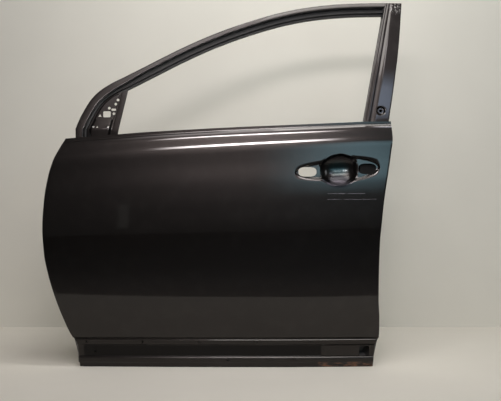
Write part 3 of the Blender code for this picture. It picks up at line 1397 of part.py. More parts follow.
def mastic_pads():
    for i, share in enumerate(MASTIC_PLACE_SHARES):
        x = mix(BEAM_FRONT_X, BEAM_REAR_X, share)
        z = beam_z(x)
        low = skin_y(x, z)
        high = BEAM_Y - BEAM_RADIUS - GAP
        work = bmesh.new()
        add_round(work, (x, (low + high) / 2, z), MASTIC_RADIUS, "Y", high - low)
        for vert in work.verts:
            if vert.co.y < (low + high) / 2:
                vert.co.y = sheet_y(vert.co.x, vert.co.z) + SHEET / 2 + SEAT
        add_part(work, "mastic_pad_%d" % (i + 1), MASTIC, 0.9, 0)


def hinge_reinforcement(name, pad_x, middle, half):
    """Angle behind a hinge pad: one leg on the wall, one on the web."""
    inner = pad_x + STACK
    web = WEB_Y - STACK
    section = (
        (inner, HINGE_LEG_START), (inner, WEB_Y - WEB_ROUND_Y - STACK),
        (inner + WEB_ROUND, web), (inner + HINGE_WEB_LEG, web))

    def place(i, j):
        x, y = section[i]
        return Vector((x, y, middle + (2 * j - 1) * (half - HINGE_EDGE)))

    work = grid(len(section), 2, place)
    made = thicken(add_part(work, name, PRIMER, 0.45, 0.3), SHEET)
    holes = bmesh.new()
    add_hinge_holes(holes, pad_x, middle, HINGE_HOLE_RADIUS)
    boolean(made, holes, "DIFFERENCE", "cut_" + name)
    return made


def hinge_nut_plate(name, pad_x, middle):
    near = pad_x + STACK + SHEET / 2 + GAP
    low = Vector((near, HINGE_Y - NUT_PLATE_WIDTH / 2, middle - NUT_PLATE_HEIGHT / 2))
    work = bmesh.new()
    add_box(work, low, low + Vector((NUT_PLATE_THICKNESS, NUT_PLATE_WIDTH, NUT_PLATE_HEIGHT)))
    made = add_part(work, name, STEEL, 0.4, 0.8)
    holes = bmesh.new()
    add_hinge_holes(holes, pad_x, middle, NUT_HOLE_RADIUS)
    boolean(made, holes, "DIFFERENCE", "cut_" + name)
    return made


def check_link_reinforcement():
    x = CHECK_PAD_X + STACK

    def place(i, j):
        return Vector((
            x, (CHECK_PLATE_START, CHECK_PLATE_END)[i], CHECK_Z + (2 * j - 1) * (CHECK_HALF - HINGE_EDGE)))

    made = thicken(
        add_part(grid(2, 2, place), "check_link_reinforcement", PRIMER, 0.45, 0.3), SHEET)
    holes = bmesh.new()
    add_check_holes(holes)
    boolean(made, holes, "DIFFERENCE", "cut_check_link_reinforcement")
    return made


def latch_reinforcement():
    inner = latch_pad_x() - STACK
    web = WEB_Y - STACK
    section = (
        (inner, LATCH_LEG_START), (inner, WEB_Y - WEB_ROUND_Y - STACK), (inner - WEB_ROUND, web),
        (inner - HINGE_WEB_LEG, web))

    def place(i, j):
        x, y = section[i]
        return Vector((x, y, LATCH_Z + (2 * j - 1) * (LATCH_HALF - HINGE_EDGE)))

    made = thicken(
        add_part(grid(len(section), 2, place), "latch_reinforcement", PRIMER, 0.45, 0.3), SHEET)
    holes = bmesh.new()
    add_latch_holes(holes)
    boolean(made, holes, "DIFFERENCE", "cut_latch_reinforcement")
    return made


def handle_reinforcement():
    """Tray behind the pan's rear lobe, flanged to the skin above and below it."""
    low, high = PAN_Z - TRAY_HALF_HEIGHT, PAN_Z + TRAY_HALF_HEIGHT
    heights = (low - TRAY_FLANGE, low, low + RAIL_LIP, high - RAIL_LIP, high, high + TRAY_FLANGE)

    def place(i, j):
        z = heights[j]
        rear = rear_wall_at(z) - TRAY_EDGE
        x = (PAN_X + TRAY_FRONT_REACH, rear, rear)[i]
        flange = sheet_y(x, z) + STACK + GAP
        y = skin_y(PAN_X, PAN_Z) + TRAY_DEPTH if j in (2, 3) else flange
        if i == 2:
            y = sheet_y(x, z) + TRAY_EDGE
        return Vector((x, y, z))

    columns = 3
    work = bmesh.new()
    grid(columns, len(heights), place, work)
    work.verts.ensure_lookup_table()
    drop = [
        work.verts[j * columns + 2] for j in (0, 1, 4, 5)]
    bmesh.ops.delete(work, geom=drop, context="VERTS")
    return thicken(add_part(work, "handle_reinforcement", PRIMER, 0.5, 0.3), SHEET)


def damping_sheet():
    def place(i, j):
        x = mix(*DAMPING_LENGTH_SHARES, i / (DAMPING_COLUMNS - 1)) * BODY_LENGTH
        z = mix(*DAMPING_HEIGHT_SHARES, j / (DAMPING_ROWS - 1)) * BELT_HEIGHT
        return Vector((x, sheet_y(x, z) + (SHEET + DAMPING_THICKNESS) / 2 + SEAT, z))

    work = grid(DAMPING_COLUMNS, DAMPING_ROWS, place)
    return thicken(add_part(work, "damping_sheet", BITUMEN, 0.9, 0), DAMPING_THICKNESS)


clear_scene()
PARTS = make_collection("car_door_shell")
CUTTERS = make_collection("cutters")
FRAME_EMPTY = bpy.data.objects.new("hinge_face_origin", None)
FRAME_EMPTY.location = -MODEL_ORIGIN
PARTS.objects.link(FRAME_EMPTY)

outer_panel()
inner_panel()
header_outer()
header_inner()
lock_pillar_outer()
lock_pillar_inner()
frame_corner_gusset()
front_glass_guide()
rear_glass_guide()
guide_bracket("front_guide_bracket", post_x(GUIDE_FOOT_Z) - POST_WIDTH, 1)
guide_bracket("rear_guide_bracket", pillar_inner_x(GUIDE_FOOT_Z), 1)
mirror_sail_plate()
mirror_bracket()
mirror_weld_nuts()
belt_reinforcement_outer()
belt_reinforcement_inner()
impact_beam()
beam_bracket("beam_bracket_front", BEAM_FRONT_X, front_wall_at, 1)
beam_bracket("beam_bracket_rear", BEAM_REAR_X, rear_wall_at, -1)
mastic_pads()
hinge_reinforcement("hinge_reinforcement_upper", UPPER_PAD_X, UPPER_HINGE_Z, UPPER_HINGE_HALF)
hinge_reinforcement("hinge_reinforcement_lower", LOWER_PAD_X, LOWER_HINGE_Z, LOWER_HINGE_HALF)
hinge_nut_plate("hinge_nut_plate_upper", UPPER_PAD_X, UPPER_HINGE_Z)
hinge_nut_plate("hinge_nut_plate_lower", LOWER_PAD_X, LOWER_HINGE_Z)
check_link_reinforcement()
latch_reinforcement()
handle_reinforcement()
damping_sheet()
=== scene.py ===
"""Looks of the car door shell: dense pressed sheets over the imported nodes, paint and a studio.

Metres. Places are drafted as in the part's source: X to the rear of the car from the skin's most
forward point, Y into the car from its outermost plane, Z up from its lower edge. ORIGIN is the
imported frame's origin in that drafting frame.
"""
import json
import math

import bmesh
import bpy
from mathutils import Matrix, Vector


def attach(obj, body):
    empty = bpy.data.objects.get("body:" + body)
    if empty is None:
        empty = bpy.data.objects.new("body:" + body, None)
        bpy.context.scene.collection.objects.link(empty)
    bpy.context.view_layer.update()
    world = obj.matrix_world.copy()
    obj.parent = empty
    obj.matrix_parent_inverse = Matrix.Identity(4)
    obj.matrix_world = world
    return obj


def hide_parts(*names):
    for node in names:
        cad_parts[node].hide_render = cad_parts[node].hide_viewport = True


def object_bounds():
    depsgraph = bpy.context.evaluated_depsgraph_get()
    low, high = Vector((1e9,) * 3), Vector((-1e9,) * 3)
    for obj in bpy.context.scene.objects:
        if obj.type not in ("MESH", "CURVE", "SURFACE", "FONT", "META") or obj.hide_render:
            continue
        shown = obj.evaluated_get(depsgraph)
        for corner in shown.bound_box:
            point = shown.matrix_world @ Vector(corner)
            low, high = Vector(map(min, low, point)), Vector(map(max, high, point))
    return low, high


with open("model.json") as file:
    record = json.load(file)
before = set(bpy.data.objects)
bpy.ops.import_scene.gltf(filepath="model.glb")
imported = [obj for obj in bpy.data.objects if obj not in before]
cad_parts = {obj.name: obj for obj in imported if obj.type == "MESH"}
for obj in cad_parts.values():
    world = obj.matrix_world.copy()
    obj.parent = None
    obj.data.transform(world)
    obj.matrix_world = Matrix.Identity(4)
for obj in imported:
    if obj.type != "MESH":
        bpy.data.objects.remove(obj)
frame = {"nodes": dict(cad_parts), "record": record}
CAD_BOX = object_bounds()

ORIGIN = Vector((0.034, 0.062, 0.575))

# Skin, as in the part but for the ridges, which fall away in one curve
SHEET = 0.0010
STACK = 0.0013
LEAN_GAP = 0.0003
BODY_LENGTH = 1.141
BELT_HEIGHT = 0.814
TUCK_DEPTH = 0.054
CROWN_FRONT = 0.012
CROWN_REAR = 0.010
CROWN_CENTRE_SHARE = 0.62
FRONT_EDGE_SHARES = (
    (0.0, 0.0957), (0.1006, 0.0901), (0.1324, 0.0742), (0.2027, 0.0536), (0.2563, 0.0400),
    (0.3091, 0.0285), (0.3612, 0.0185), (0.3978, 0.0125), (0.4666, 0.0040), (0.5747, 0.0),
    (0.6864, 0.0049), (0.7762, 0.0151), (0.8144, 0.0223), (0.8522, 0.0320), (0.8778, 0.0415),
    (0.9314, 0.0634))
REAR_EDGE_SHARES = (
    (0.0, 0.9512), (0.0985, 0.9557), (0.1281, 0.9669), (0.1998, 0.9662), (0.2916, 0.9622),
    (0.4018, 0.9616), (0.5068, 0.9631), (0.6086, 0.9691), (0.7002, 0.9764), (0.8016, 0.9875),
    (0.8773, 0.9954), (0.9294, 1.0), (1.0, 0.9959))
BELT_SHARES = (
    (0.0, 0.9314), (0.1567, 0.9478), (0.261, 0.9580), (0.4143, 0.9695), (0.5709, 0.9795),
    (0.7211, 0.9875), (0.8437, 0.9945), (0.9265, 0.9990), (1.0, 1.0))
SECTION_SHARES = (
    (0.0, 1.0), (0.11, 0.741), (0.2027, 0.481), (0.307, 0.241), (0.405, 0.093), (0.516, 0.019),
    (0.577, 0.0), (0.676, 0.055), (0.762, 0.148), (0.86, 0.296), (1.0, 0.444))
RIDGE_HEIGHT_FRONT = 0.0832
RIDGE_HEIGHT_REAR = 0.0704
RIDGE_STEP = 0.0100
RIDGE_SHARES = (
    (0.0, 1.0), (0.13, 0.98), (0.15, 0.90), (0.18, 0.68), (0.20, 0.632), (0.27, 0.472),
    (0.335, 0.385), (0.40, 0.335), (0.475, 0.291), (0.60, 0.231), (0.70, 0.168), (0.78, 0.092),
    (0.90, 0.025), (1.0, 0.0))
LAND_HEIGHT = 0.1030
LAND_DEPTH = 0.0050
GROOVE_LOW_SHARE = 0.36
GROOVE_HIGH_SHARE = 0.73
LAND_SHARES = (
    (0.0, 0.0), (0.136, 0.0), (0.165, -0.70), (0.243, -1.0), (0.32, -0.70),
    (GROOVE_LOW_SHARE, 0.56), (GROOVE_HIGH_SHARE, 0.68), (0.767, -0.36), (0.913, -0.44),
    (0.937, 0.56), (0.971, 0.56), (1.0, 0.0))
GROOVE_END_SHARE = 0.815
GROOVE_FADE_SHARE = 0.020
HEM_WIDTH = 0.0090
HEM_LIFT = 0.0070

# Handle pan. Each hole: place along the pan, rise and height
PAN_X = BODY_LENGTH - 0.1762
PAN_Z = BELT_HEIGHT - 0.1573
PAN_TILT = math.radians(4)
PAN_FRONT_REACH = 0.1447
PAN_REAR_REACH = 0.1348
LOBE_FRONT_HEIGHT = 0.0300
LOBE_REAR_HEIGHT = 0.0405
BOWL_HALF_LENGTH = 0.0600
BOWL_HALF_HEIGHT = 0.0512
BOWL_DEPTH = 0.0380
LOBE_DEPTH = 0.0105
LOBE_POWER = 0.5
BOWL_POWER = 0.5
PAN_BLEND_POWER = 6
HANDLE_HOLE_LENGTH = 0.0590
HANDLE_HOLES = ((-0.1020, 0.0, 0.0310), (0.0940, -0.0040, 0.0350))
HANDLE_HOLE_POWER = 0.7

# Forms of the pan that only the dense skin has
PAN_ROLL = 0.0056
BOWL_ROLL = 0.0085
BOWL_GROWTH = 0.0055
BOWL_END_POWER = 4
PAN_BLEND = 0.0030

# Holes of the lower land, as in the part
CLIP_HEIGHT = 0.0865
CLIP_PITCH = 0.1870
CLIP_FIRST_X = 0.1335
CLIP_COUNT = 5
CLIP_RADIUS = 0.0035
LAND_HOLE_SHARES = ((0.1424, 0.505), (0.5276, 0.233), (0.7201, 0.282))
LAND_HOLE_RADIUS = 0.0032
LAND_WINDOW = (BODY_LENGTH - 0.0860, 0.0540)
LAND_WINDOW_SIZE = (0.0330, 0.0360)
LAND_WINDOW_CORNER = 0.0050

# Window frame, as in the part but for the rear post's softer creases
FRAME_RISE = 0.405
FRAME_FOOT_Y = 0.0560
FRAME_LEAN = 0.2935
FRAME_BEND_Z = BELT_HEIGHT - 0.0240
FRAME_FOOT_Z = FRAME_BEND_Z - 0.1480
FRAME_TOP_Z = BELT_HEIGHT + FRAME_RISE
FRAME_DEPTH = 0.0500
ARCH_SHARES = (
    (0.0903, -0.0593), (0.1000, 0.0150), (0.1127, 0.0900), (0.1290, 0.1700), (0.1530, 0.2460),
    (0.1882, 0.3136), (0.2248, 0.3662), (0.2981, 0.4740), (0.3719, 0.5830), (0.4462, 0.6830),
    (0.5211, 0.7700), (0.5920, 0.8400), (0.6650, 0.9020), (0.7380, 0.9480), (0.8110, 0.9770),
    (0.8900, 0.9935), (0.9970, 1.0))
ARCH_CAD_STATIONS = 28
RAIL_WIDTH = 0.0420
RAIL_FACE = 0.0150
RAIL_FACE_FOOT = 0.0250
RAIL_FACE_START_SHARE = 0.17
RAIL_FACE_END_SHARE = 0.29
RAIL_FLANGE_DEPTH = 0.0260
RAIL_RETURN_DEPTH = 0.0150
CHANNEL_DEPTH = 0.0185
STRIP_DEPTH = 0.0260
STRIP_WIDTH = 0.00675
RAIL_LIP = 0.0025
POST_SEAT = 0.0012
PILLAR_INNER_X = BODY_LENGTH - 0.0891
GLASS_RAKE = 0.2063
PILLAR_OUTER_SHARES = ((0.0, 0.9931), (0.3395, 1.0147), (0.6299, 1.0303), (1.0, 1.0439))
PILLAR_FOOT_TAPER = 0.0260
PANEL_TOP_DROP = 0.0490
PILLAR_STRIP = 0.0050
PILLAR_STRIP_DEPTH = 0.0040
PILLAR_RIB_WIDTH = 0.0050
PILLAR_RIB_DEPTH = 0.0018
PILLAR_CREASE_SHARE = 0.41
PILLAR_OUTER_SET = 0.0050
PILLAR_FLANGE_DEPTH = 0.0340
PILLAR_CAP_DEPTH = 0.0150
PILLAR_HOLE_RISE = 0.0360
PILLAR_HOLE_SHARE = 0.60
PILLAR_HOLE_RADIUS = 0.0052
PILLAR_HOLE_CUT = 0.0120
PILLAR_ROUND = 0.0016
PILLAR_CREASE_SIDE = 0.0120
CREASE_SIDE_MOST = 0.65
PILLAR_CREASE_POINT = 6
PILLAR_CREASE_ROUND = 0.0052
PILLAR_FACE_CORNERS = (6, 7)
PILLAR_TURN = 0.0040
DIMPLE_RADIUS = 0.0155
DIMPLE_DEPTH = 0.0060
POST_WIDTH = 0.0175
POST_FROM_ARCH = 0.1429
POST_OUTER_DEPTH = 0.0120
GUIDE_INNER_DEPTH = FRAME_DEPTH - 0.0180
GUIDE_FOOT_Z = 0.4400
LEAN_STACK = STACK * math.hypot(1, FRAME_LEAN) + LEAN_GAP
SAIL_DEPTH = STRIP_DEPTH - LEAN_STACK
SAIL_INSET = 0.0360
SAIL_POST_CLEARANCE = 0.0010
SAIL_TIP_WIDTH = 0.0080
SAIL_HOLE_SHARES = ((0.853, 0.733), (0.81, 0.593), (0.54, 0.456), (0.872, 0.269))
SAIL_HOLE_RADIUS = 0.0044
SAIL_WINDOW_SHARES = (0.548, 0.252)
SAIL_WINDOW_SIZE = (0.0250, 0.0200)
SAIL_WINDOW_CORNER = 0.0040
SAIL_NOTCH_SHARES = (0.25, 0.199)
SAIL_NOTCH_RADIUS = 0.0060
SAIL_SLOT_SHARES = (0.80, 0.405)
SAIL_SLOT_SIZE = (0.0150, 0.0070)
SAIL_SLOT_CORNER = 0.0030
SAIL_FIELD_RISE = 0.0024
SAIL_FIELD_BORDER = 0.0040
SAIL_FIELD_LOW = 0.02
SAIL_FIELD_HIGH = 0.93
SAIL_FIELD_FADE = 0.05
MIRROR_PLATE_RISE = 0.0085
MIRROR_PLATE_DROP = 0.0840
MIRROR_PLATE_SET = 0.0070
MIRROR_PLATE_FLANGE = 0.0060
MIRROR_HOLE_SHARES = ((0.18, -0.161), (0.777, -0.161), (0.537, -0.582))
MIRROR_HOLE_RADIUS = 0.0042
MIRROR_NOTCH_SHARES = (0.34, -0.173)
MIRROR_NOTCH_RADIUS = 0.0045
PLATE_CUT = 0.0080
TRIANGLE = (3, math.pi / 2)
SEAT = 0.0006
RAIL_FACE_ROUND = 0.0030
CHANNEL_ROUND = 0.0022
POST_ROUND = 0.0018
BRACKET_ROUND = 0.0030
ROUND_MOST = 0.45

# Density of the meshes
LAND_ROWS = 64
FACE_STEP = 0.0110
RIDGE_ROWS = 56
PAN_CELLS = (64, 28)
PAN_RECT = (0.1620, 0.1480, 0.0660, 0.0640)
PAN_RINGS = 7
PAN_ACROSS = 48
PAN_BORDER_FINENESS = 6
ROW_BUNCHING = 0.5
ROWS_OVER_PAN = 2
COLUMNS_BEHIND_PAN = 3
HEM_ARC_STEPS = 6
RAIL_STATIONS = 96
ARCH_STEPS = 12
PILLAR_BANDS = (0.0120, 0.0600)
PILLAR_ROWS = (14, 34, 72)
PILLAR_COLUMNS = 14
PILLAR_TURN_STEPS = 5
SAIL_ROWS = (6, 60)
SAIL_COLUMNS = 34
BRACKET_ROWS = (10, 8)
POST_ROWS = 40
CORNER_STEPS = 4
HOLE_SIDES = 28
FINDING_STEPS = 30
SMOOTH_ANGLE = 38
SKIN_SMOOTH_ANGLE = 42
LAND_ROUND = 0.0009

# Dent low on the rear of the skin: middle, half sizes and depth
DENT_PLACE = (1.052, 0.359)
DENT_SIZE = (0.034, 0.010)
DENT_DEPTH = 0.0007


def mix(a, b, share):
    return a + (b - a) * share


def ease(t):
    t = min(1, max(0, t))
    return t * t * (3 - 2 * t)


def smooth_max(a, b, width):
    near = max(0, width - abs(a - b)) / width
    return max(a, b) + near * near * width / 4


def smooth_value(points, t):
    """Value at t on a monotone cubic through (t, value) points in rising order."""
    if t <= points[0][0]:
        return points[0][1]
    if t >= points[-1][0]:
        return points[-1][1]
    index = next(i for i, point in enumerate(points[1:]) if t <= point[0])

    def slope(i):
        return (points[i + 1][1] - points[i][1]) / (points[i + 1][0] - points[i][0])

    def tangent(i):
        if i == 0 or i == len(points) - 1:
            return slope(min(i, len(points) - 2))
        before, after = slope(i - 1), slope(i)
        return 0 if before * after <= 0 else 2 * before * after / (before + after)

    (t0, v0), (t1, v1) = points[index], points[index + 1]
    span = t1 - t0
    f = (t - t0) / span
    return (
        (2 * f ** 3 - 3 * f ** 2 + 1) * v0 + (f ** 3 - 2 * f ** 2 + f) * tangent(index) * span
        + (3 * f ** 2 - 2 * f ** 3) * v1 + (f ** 3 - f ** 2) * tangent(index + 1) * span)


def line_value(points, t):
    """Value at t on straight lines through (t, value) points in rising order."""
    if t <= points[0][0]:
        return points[0][1]
    for (t0, v0), (t1, v1) in zip(points, points[1:]):
        if t <= t1:
            return v0 + (v1 - v0) * (t - t0) / (t1 - t0)
    return points[-1][1]


def front_edge(z):
    return smooth_value(FRONT_EDGE_SHARES, z / BELT_HEIGHT) * BODY_LENGTH


def rear_edge(z):
    return smooth_value(REAR_EDGE_SHARES, z / BELT_HEIGHT) * BODY_LENGTH


def belt_z(share):
    return smooth_value(BELT_SHARES, share) * BELT_HEIGHT


def ridge_height(share):
    return mix(RIDGE_HEIGHT_FRONT, RIDGE_HEIGHT_REAR, share)


def length_share(x, z):
    return min(1, max(0, (x - front_edge(z)) / (rear_edge(z) - front_edge(z))))


def land_relief(z, share):
    """Relief of the lower land, its press corners rounded by averaging over a short height."""
    offsets = (-1, -0.5, 0, 0.5, 1)
    heights = [(z + offset * LAND_ROUND) / LAND_HEIGHT for offset in offsets]
    relief = sum(line_value(LAND_SHARES, height) for height in heights) / len(offsets) * LAND_DEPTH
    if GROOVE_LOW_SHARE <= z / LAND_HEIGHT <= GROOVE_HIGH_SHARE:
        relief *= 1 - ease((share - GROOVE_END_SHARE) / GROOVE_FADE_SHARE)
    return relief


def dent(x, z):
    across = ((x - DENT_PLACE[0]) / DENT_SIZE[0]) ** 2 + ((z - DENT_PLACE[1]) / DENT_SIZE[1]) ** 2
    return DENT_DEPTH * math.exp(-across)


def skin_y(x, z):
    """Middle of the skin's sheet."""
    share = length_share(x, z)
    belt = belt_z(share)
    ahead = max(0, (CROWN_CENTRE_SHARE - share) / CROWN_CENTRE_SHARE)
    behind = max(0, (share - CROWN_CENTRE_SHARE) / (1 - CROWN_CENTRE_SHARE))
    y = smooth_value(SECTION_SHARES, z / belt) * TUCK_DEPTH
    y += CROWN_FRONT * ahead ** 2 + CROWN_REAR * behind ** 2
    if z > belt - ridge_height(share):
        y += smooth_value(RIDGE_SHARES, (belt - z) / ridge_height(share)) * RIDGE_STEP
    if z < LAND_HEIGHT:
        y += land_relief(z, share)
    return y + dent(x, z)


def frame_y(z):
    return FRAME_FOOT_Y + FRAME_LEAN * max(0, z - FRAME_BEND_Z)


def pillar_inner_x(z):
    return PILLAR_INNER_X + GLASS_RAKE * (z - BELT_HEIGHT)


def pillar_outer_x(z):
    if z >= BELT_HEIGHT:
        return smooth_value(PILLAR_OUTER_SHARES, (z - BELT_HEIGHT) / FRAME_RISE) * BODY_LENGTH
    top = PILLAR_OUTER_SHARES[0][1] * BODY_LENGTH
    share = min(1, (BELT_HEIGHT - z) / PANEL_TOP_DROP)
    return top - PILLAR_FOOT_TAPER * share - max(0, BELT_HEIGHT - PANEL_TOP_DROP - z) * GLASS_RAKE


def post_x(z):
    """Window side of the division post at a height."""
    return ARCH_SHARES[0][0] * BODY_LENGTH + POST_FROM_ARCH + GLASS_RAKE * (z - BELT_HEIGHT)


def steps(low, high, count):
    return [mix(low, high, i / count) for i in range(count + 1)]


def fill_grid(work, rows):
    """Faces between rows of vertices, leaving out those that shrink to nothing or lack a corner."""
    for low, high in zip(rows, rows[1:]):
        for corners in zip(low, low[1:], high[1:], high):
            corners = list(dict.fromkeys(corners))
            if len(corners) > 2 and None not in corners:
                work.faces.new(corners)


def new_vert(work, x, y, z):
    return work.verts.new(Vector((x, y, z)) - ORIGIN)


def add_object(name, data):
    made = bpy.data.objects.new(name, data)
    bpy.context.scene.collection.objects.link(made)
    return made


def add_mesh(work, name):
    mesh = bpy.data.meshes.new(name)
    work.to_mesh(mesh)
    work.free()
    return add_object(name, mesh)


def object_from(work, name):
    bmesh.ops.recalc_face_normals(work, faces=work.faces[:])
    return add_mesh(work, name)


def sheet_from(work, name):
    """Even sheet about the faces of a bmesh."""
    made = object_from(work, name)
    solidify = made.modifiers.new("sheet", "SOLIDIFY")
    solidify.thickness = SHEET
    solidify.offset = 0
    solidify.use_even_offset = True
    return made


def pressed(name, rows):
    """Even sheet through rows of points."""
    work = bmesh.new()
    fill_grid(work, [[new_vert(work, *point) for point in row] for row in rows])
    return sheet_from(work, name)


def cut(made, work):
    """Cuts the closed bodies of a bmesh out of the piece."""
    tool = object_from(work, made.name + "_cutter")
    modifier = made.modifiers.new("cut", "BOOLEAN")
    modifier.operation = "DIFFERENCE"
    modifier.solver = "EXACT"
    modifier.object = tool
    bake(made)
    bpy.data.objects.remove(tool, do_unlink=True)


def bake(made):
    """Puts the result of the piece's modifiers into its mesh."""
    bpy.context.view_layer.update()
    shaped = made.evaluated_get(bpy.context.evaluated_depsgraph_get())
    mesh = bpy.data.meshes.new_from_object(shaped)
    old = made.data
    made.modifiers.clear()
    made.data = mesh
    mesh.name = made.name
    bpy.data.meshes.remove(old)


def keep_inside(made, low, high):
    """Puts points past a box back onto it: the sheet's sharpest corners stand out a little."""
    for vertex in made.data.vertices:
        vertex.co = Vector([
            min(max(at, least), most) for at, least, most in zip(vertex.co, low, high)])


def finish_piece(made, node, finish, angle=SMOOTH_ANGLE):
    """Shades the piece, gives it its finish and lets it stand for its node."""
    keep_inside(made, *CAD_BOX)
    made.data.materials.clear()
    made.data.materials.append(finish)
    made.data.shade_smooth()
    made.data.set_sharp_from_angle(angle=math.radians(angle))
    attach(made, "root")
    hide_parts(node)


def add_prism(work, outline, low_y, high_y):
    """Closed body of an outline in X and Z, from one Y to another."""
    low = [new_vert(work, x, low_y, z) for x, z in outline]
    high = [new_vert(work, x, high_y, z) for x, z in outline]
    work.faces.new(low)
    work.faces.new(reversed(high))
    fill_grid(work, [low + low[:1], high + high[:1]])


def round_outline(x, z, radius, sides=HOLE_SIDES, turn=0):
    angles = [turn + 2 * math.pi * i / sides for i in range(sides)]
    return [(x + radius * math.cos(angle), z + radius * math.sin(angle)) for angle in angles]


def box_outline(x, z, size, radius):
    """Rectangle with rounded corners."""
    outline = []
    for side_x, side_z, start in ((1, 1, 0), (-1, 1, 90), (-1, -1, 180), (1, -1, 270)):
        middle = (x + side_x * (size[0] / 2 - radius), z + side_z * (size[1] / 2 - radius))
        for step in range(CORNER_STEPS + 1):
            angle = math.radians(start + 90 * step / CORNER_STEPS)
            outline.append((
                middle[0] + radius * math.cos(angle), middle[1] + radius * math.sin(angle)))
    return outline


# Handle pan

def pan_half_height(x):
    reach = PAN_REAR_REACH if x > 0 else PAN_FRONT_REACH
    height = LOBE_REAR_HEIGHT if x > 0 else LOBE_FRONT_HEIGHT
    lobe = height * max(0, 1 - (x / reach) ** 2) ** LOBE_POWER
    bowl = BOWL_HALF_HEIGHT * max(0, 1 - (x / BOWL_HALF_LENGTH) ** 2) ** BOWL_POWER
    low, high = sorted((lobe, bowl))
    return high * (1 + (low / max(high, SHEET)) ** PAN_BLEND_POWER) ** (1 / PAN_BLEND_POWER)


def pan_place(across, up):
    """Point in X and Z from its place along and across the pan."""
    cosine, sine = math.cos(PAN_TILT), math.sin(PAN_TILT)
    return PAN_X + across * cosine - up * sine, PAN_Z + across * sine + up * cosine


def pan_stations(count):
    middle = (PAN_REAR_REACH - PAN_FRONT_REACH) / 2
    half = (PAN_REAR_REACH + PAN_FRONT_REACH) / 2
    return [middle + half * math.cos(math.pi * i / count) for i in range(count + 1)]


def pan_depth(across, up, border):
    """Depth of the pan under the skin: flat lobes and a deep bowl, rolled over at the border."""
    near = min((across - x) ** 2 + (up - z) ** 2 for x, z in border)
    distance = math.sqrt(near)
    lobe = LOBE_DEPTH * ease(distance / PAN_ROLL)
    along = abs(across) / (BOWL_HALF_LENGTH + BOWL_GROWTH)
    fall = along ** BOWL_END_POWER + (up / (BOWL_HALF_HEIGHT + BOWL_GROWTH)) ** 2
    bowl = BOWL_DEPTH * max(0, 1 - fall) * ease(distance / BOWL_ROLL)
    return smooth_max(lobe, bowl, PAN_BLEND) if distance > PAN_ROLL / 4 else max(lobe, bowl)


def add_pan(work, rectangle):
    """Pan inside a closed loop of the skin's vertices, which starts midway up its rear side."""
    count = sum(PAN_CELLS)
    stations = pan_stations(count)
    border = []
    for x in pan_stations(PAN_BORDER_FINENESS * count):
        border += [(x, pan_half_height(x)), (x, -pan_half_height(x))]
    shares = []
    for t in steps(1, -1, PAN_ACROSS):
        shares.append(mix(t, math.sin(math.pi * t / 2), ROW_BUNCHING))
    rows = []
    for i, along in enumerate(stations):
        height = pan_half_height(along) if 0 < i < count else 0
        row = []
        for share in shares:
            if height == 0 and row:
                row.append(row[0])
                continue
            x, z = pan_place(along, height * share)
            edge = height == 0 or abs(share) == 1
            depth = 0 if edge else pan_depth(along, height * share, border)
            row.append(new_vert(work, x, skin_y(x, z) + depth, z))
        rows.append(row)
    fill_grid(work, rows)

    inner = [row[0] for row in rows] + [row[-1] for row in reversed(rows[1:-1])]
    loops = [rectangle]
    for ring in range(1, PAN_RINGS):
        share = ease(ring / PAN_RINGS * 0.5) * 2
        loop = []
        for outer, vert in zip(rectangle, inner):
            place = outer.co.lerp(vert.co, share) + ORIGIN
            loop.append(new_vert(work, place.x, skin_y(place.x, place.z), place.z))
        loops.append(loop)
    loops.append(inner)
    fill_grid(work, [loop + loop[:1] for loop in loops])


def handle_hole(offset, rise, height):
    x = PAN_X + offset * math.cos(PAN_TILT)
    z = PAN_Z + offset * math.sin(PAN_TILT) + rise
    outline = []
    for i in range(2 * HOLE_SIDES):
        turn = math.pi * i / HOLE_SIDES
        across = math.copysign(abs(math.cos(turn)) ** HANDLE_HOLE_POWER, math.cos(turn))
        along = math.copysign(abs(math.sin(turn)) ** HANDLE_HOLE_POWER, math.sin(turn))
        outline.append((x + across * HANDLE_HOLE_LENGTH / 2, z + along * height / 2))
    return outline


# Skin

def skin_row_places():
    """Rows of the skin, each a height for a length share, the hemmed ones and the pan's."""
    rows = [lambda share, h=h: h for h in steps(0, LAND_HEIGHT, LAND_ROWS)]
    first_hemmed = len(rows)
    pan_share = length_share(PAN_X, PAN_Z)
    ridge_foot = belt_z(pan_share) - ridge_height(pan_share)
    low = LAND_HEIGHT + HEM_LIFT
    pan_low, pan_high = PAN_Z - PAN_RECT[2], PAN_Z + PAN_RECT[3]
    heights = steps(low, pan_low, round((pan_low - low) / FACE_STEP))
    pan_first = first_hemmed + len(heights) - 1
    heights += steps(pan_low, pan_high, PAN_CELLS[1])[1:]
    pan_last = first_hemmed + len(heights) - 1
    heights += steps(pan_high, ridge_foot, ROWS_OVER_PAN)[1:]
    for height in heights:
        f = (height - low) / (ridge_foot - low)
        rows.append(lambda share, f=f: mix(low, belt_z(share) - ridge_height(share), f))
    last_hemmed = len(rows) - 1
    for d in steps(1, 0, RIDGE_ROWS)[1:]:
        rows.append(lambda share, d=d: belt_z(share) - d * ridge_height(share))
    return rows, (first_hemmed, last_hemmed), (pan_first, pan_last)


def skin_column_shares():
    pan_front = length_share(PAN_X - PAN_RECT[0], PAN_Z)
    pan_rear = length_share(PAN_X + PAN_RECT[1], PAN_Z)
    ahead = steps(0, pan_front, round(pan_front * BODY_LENGTH / FACE_STEP))
    middle = steps(pan_front, pan_rear, PAN_CELLS[0])[1:]
    behind = steps(pan_rear, 1, COLUMNS_BEHIND_PAN)[1:]
    return ahead + middle + behind, (len(ahead) - 1, len(ahead) + len(middle) - 1)


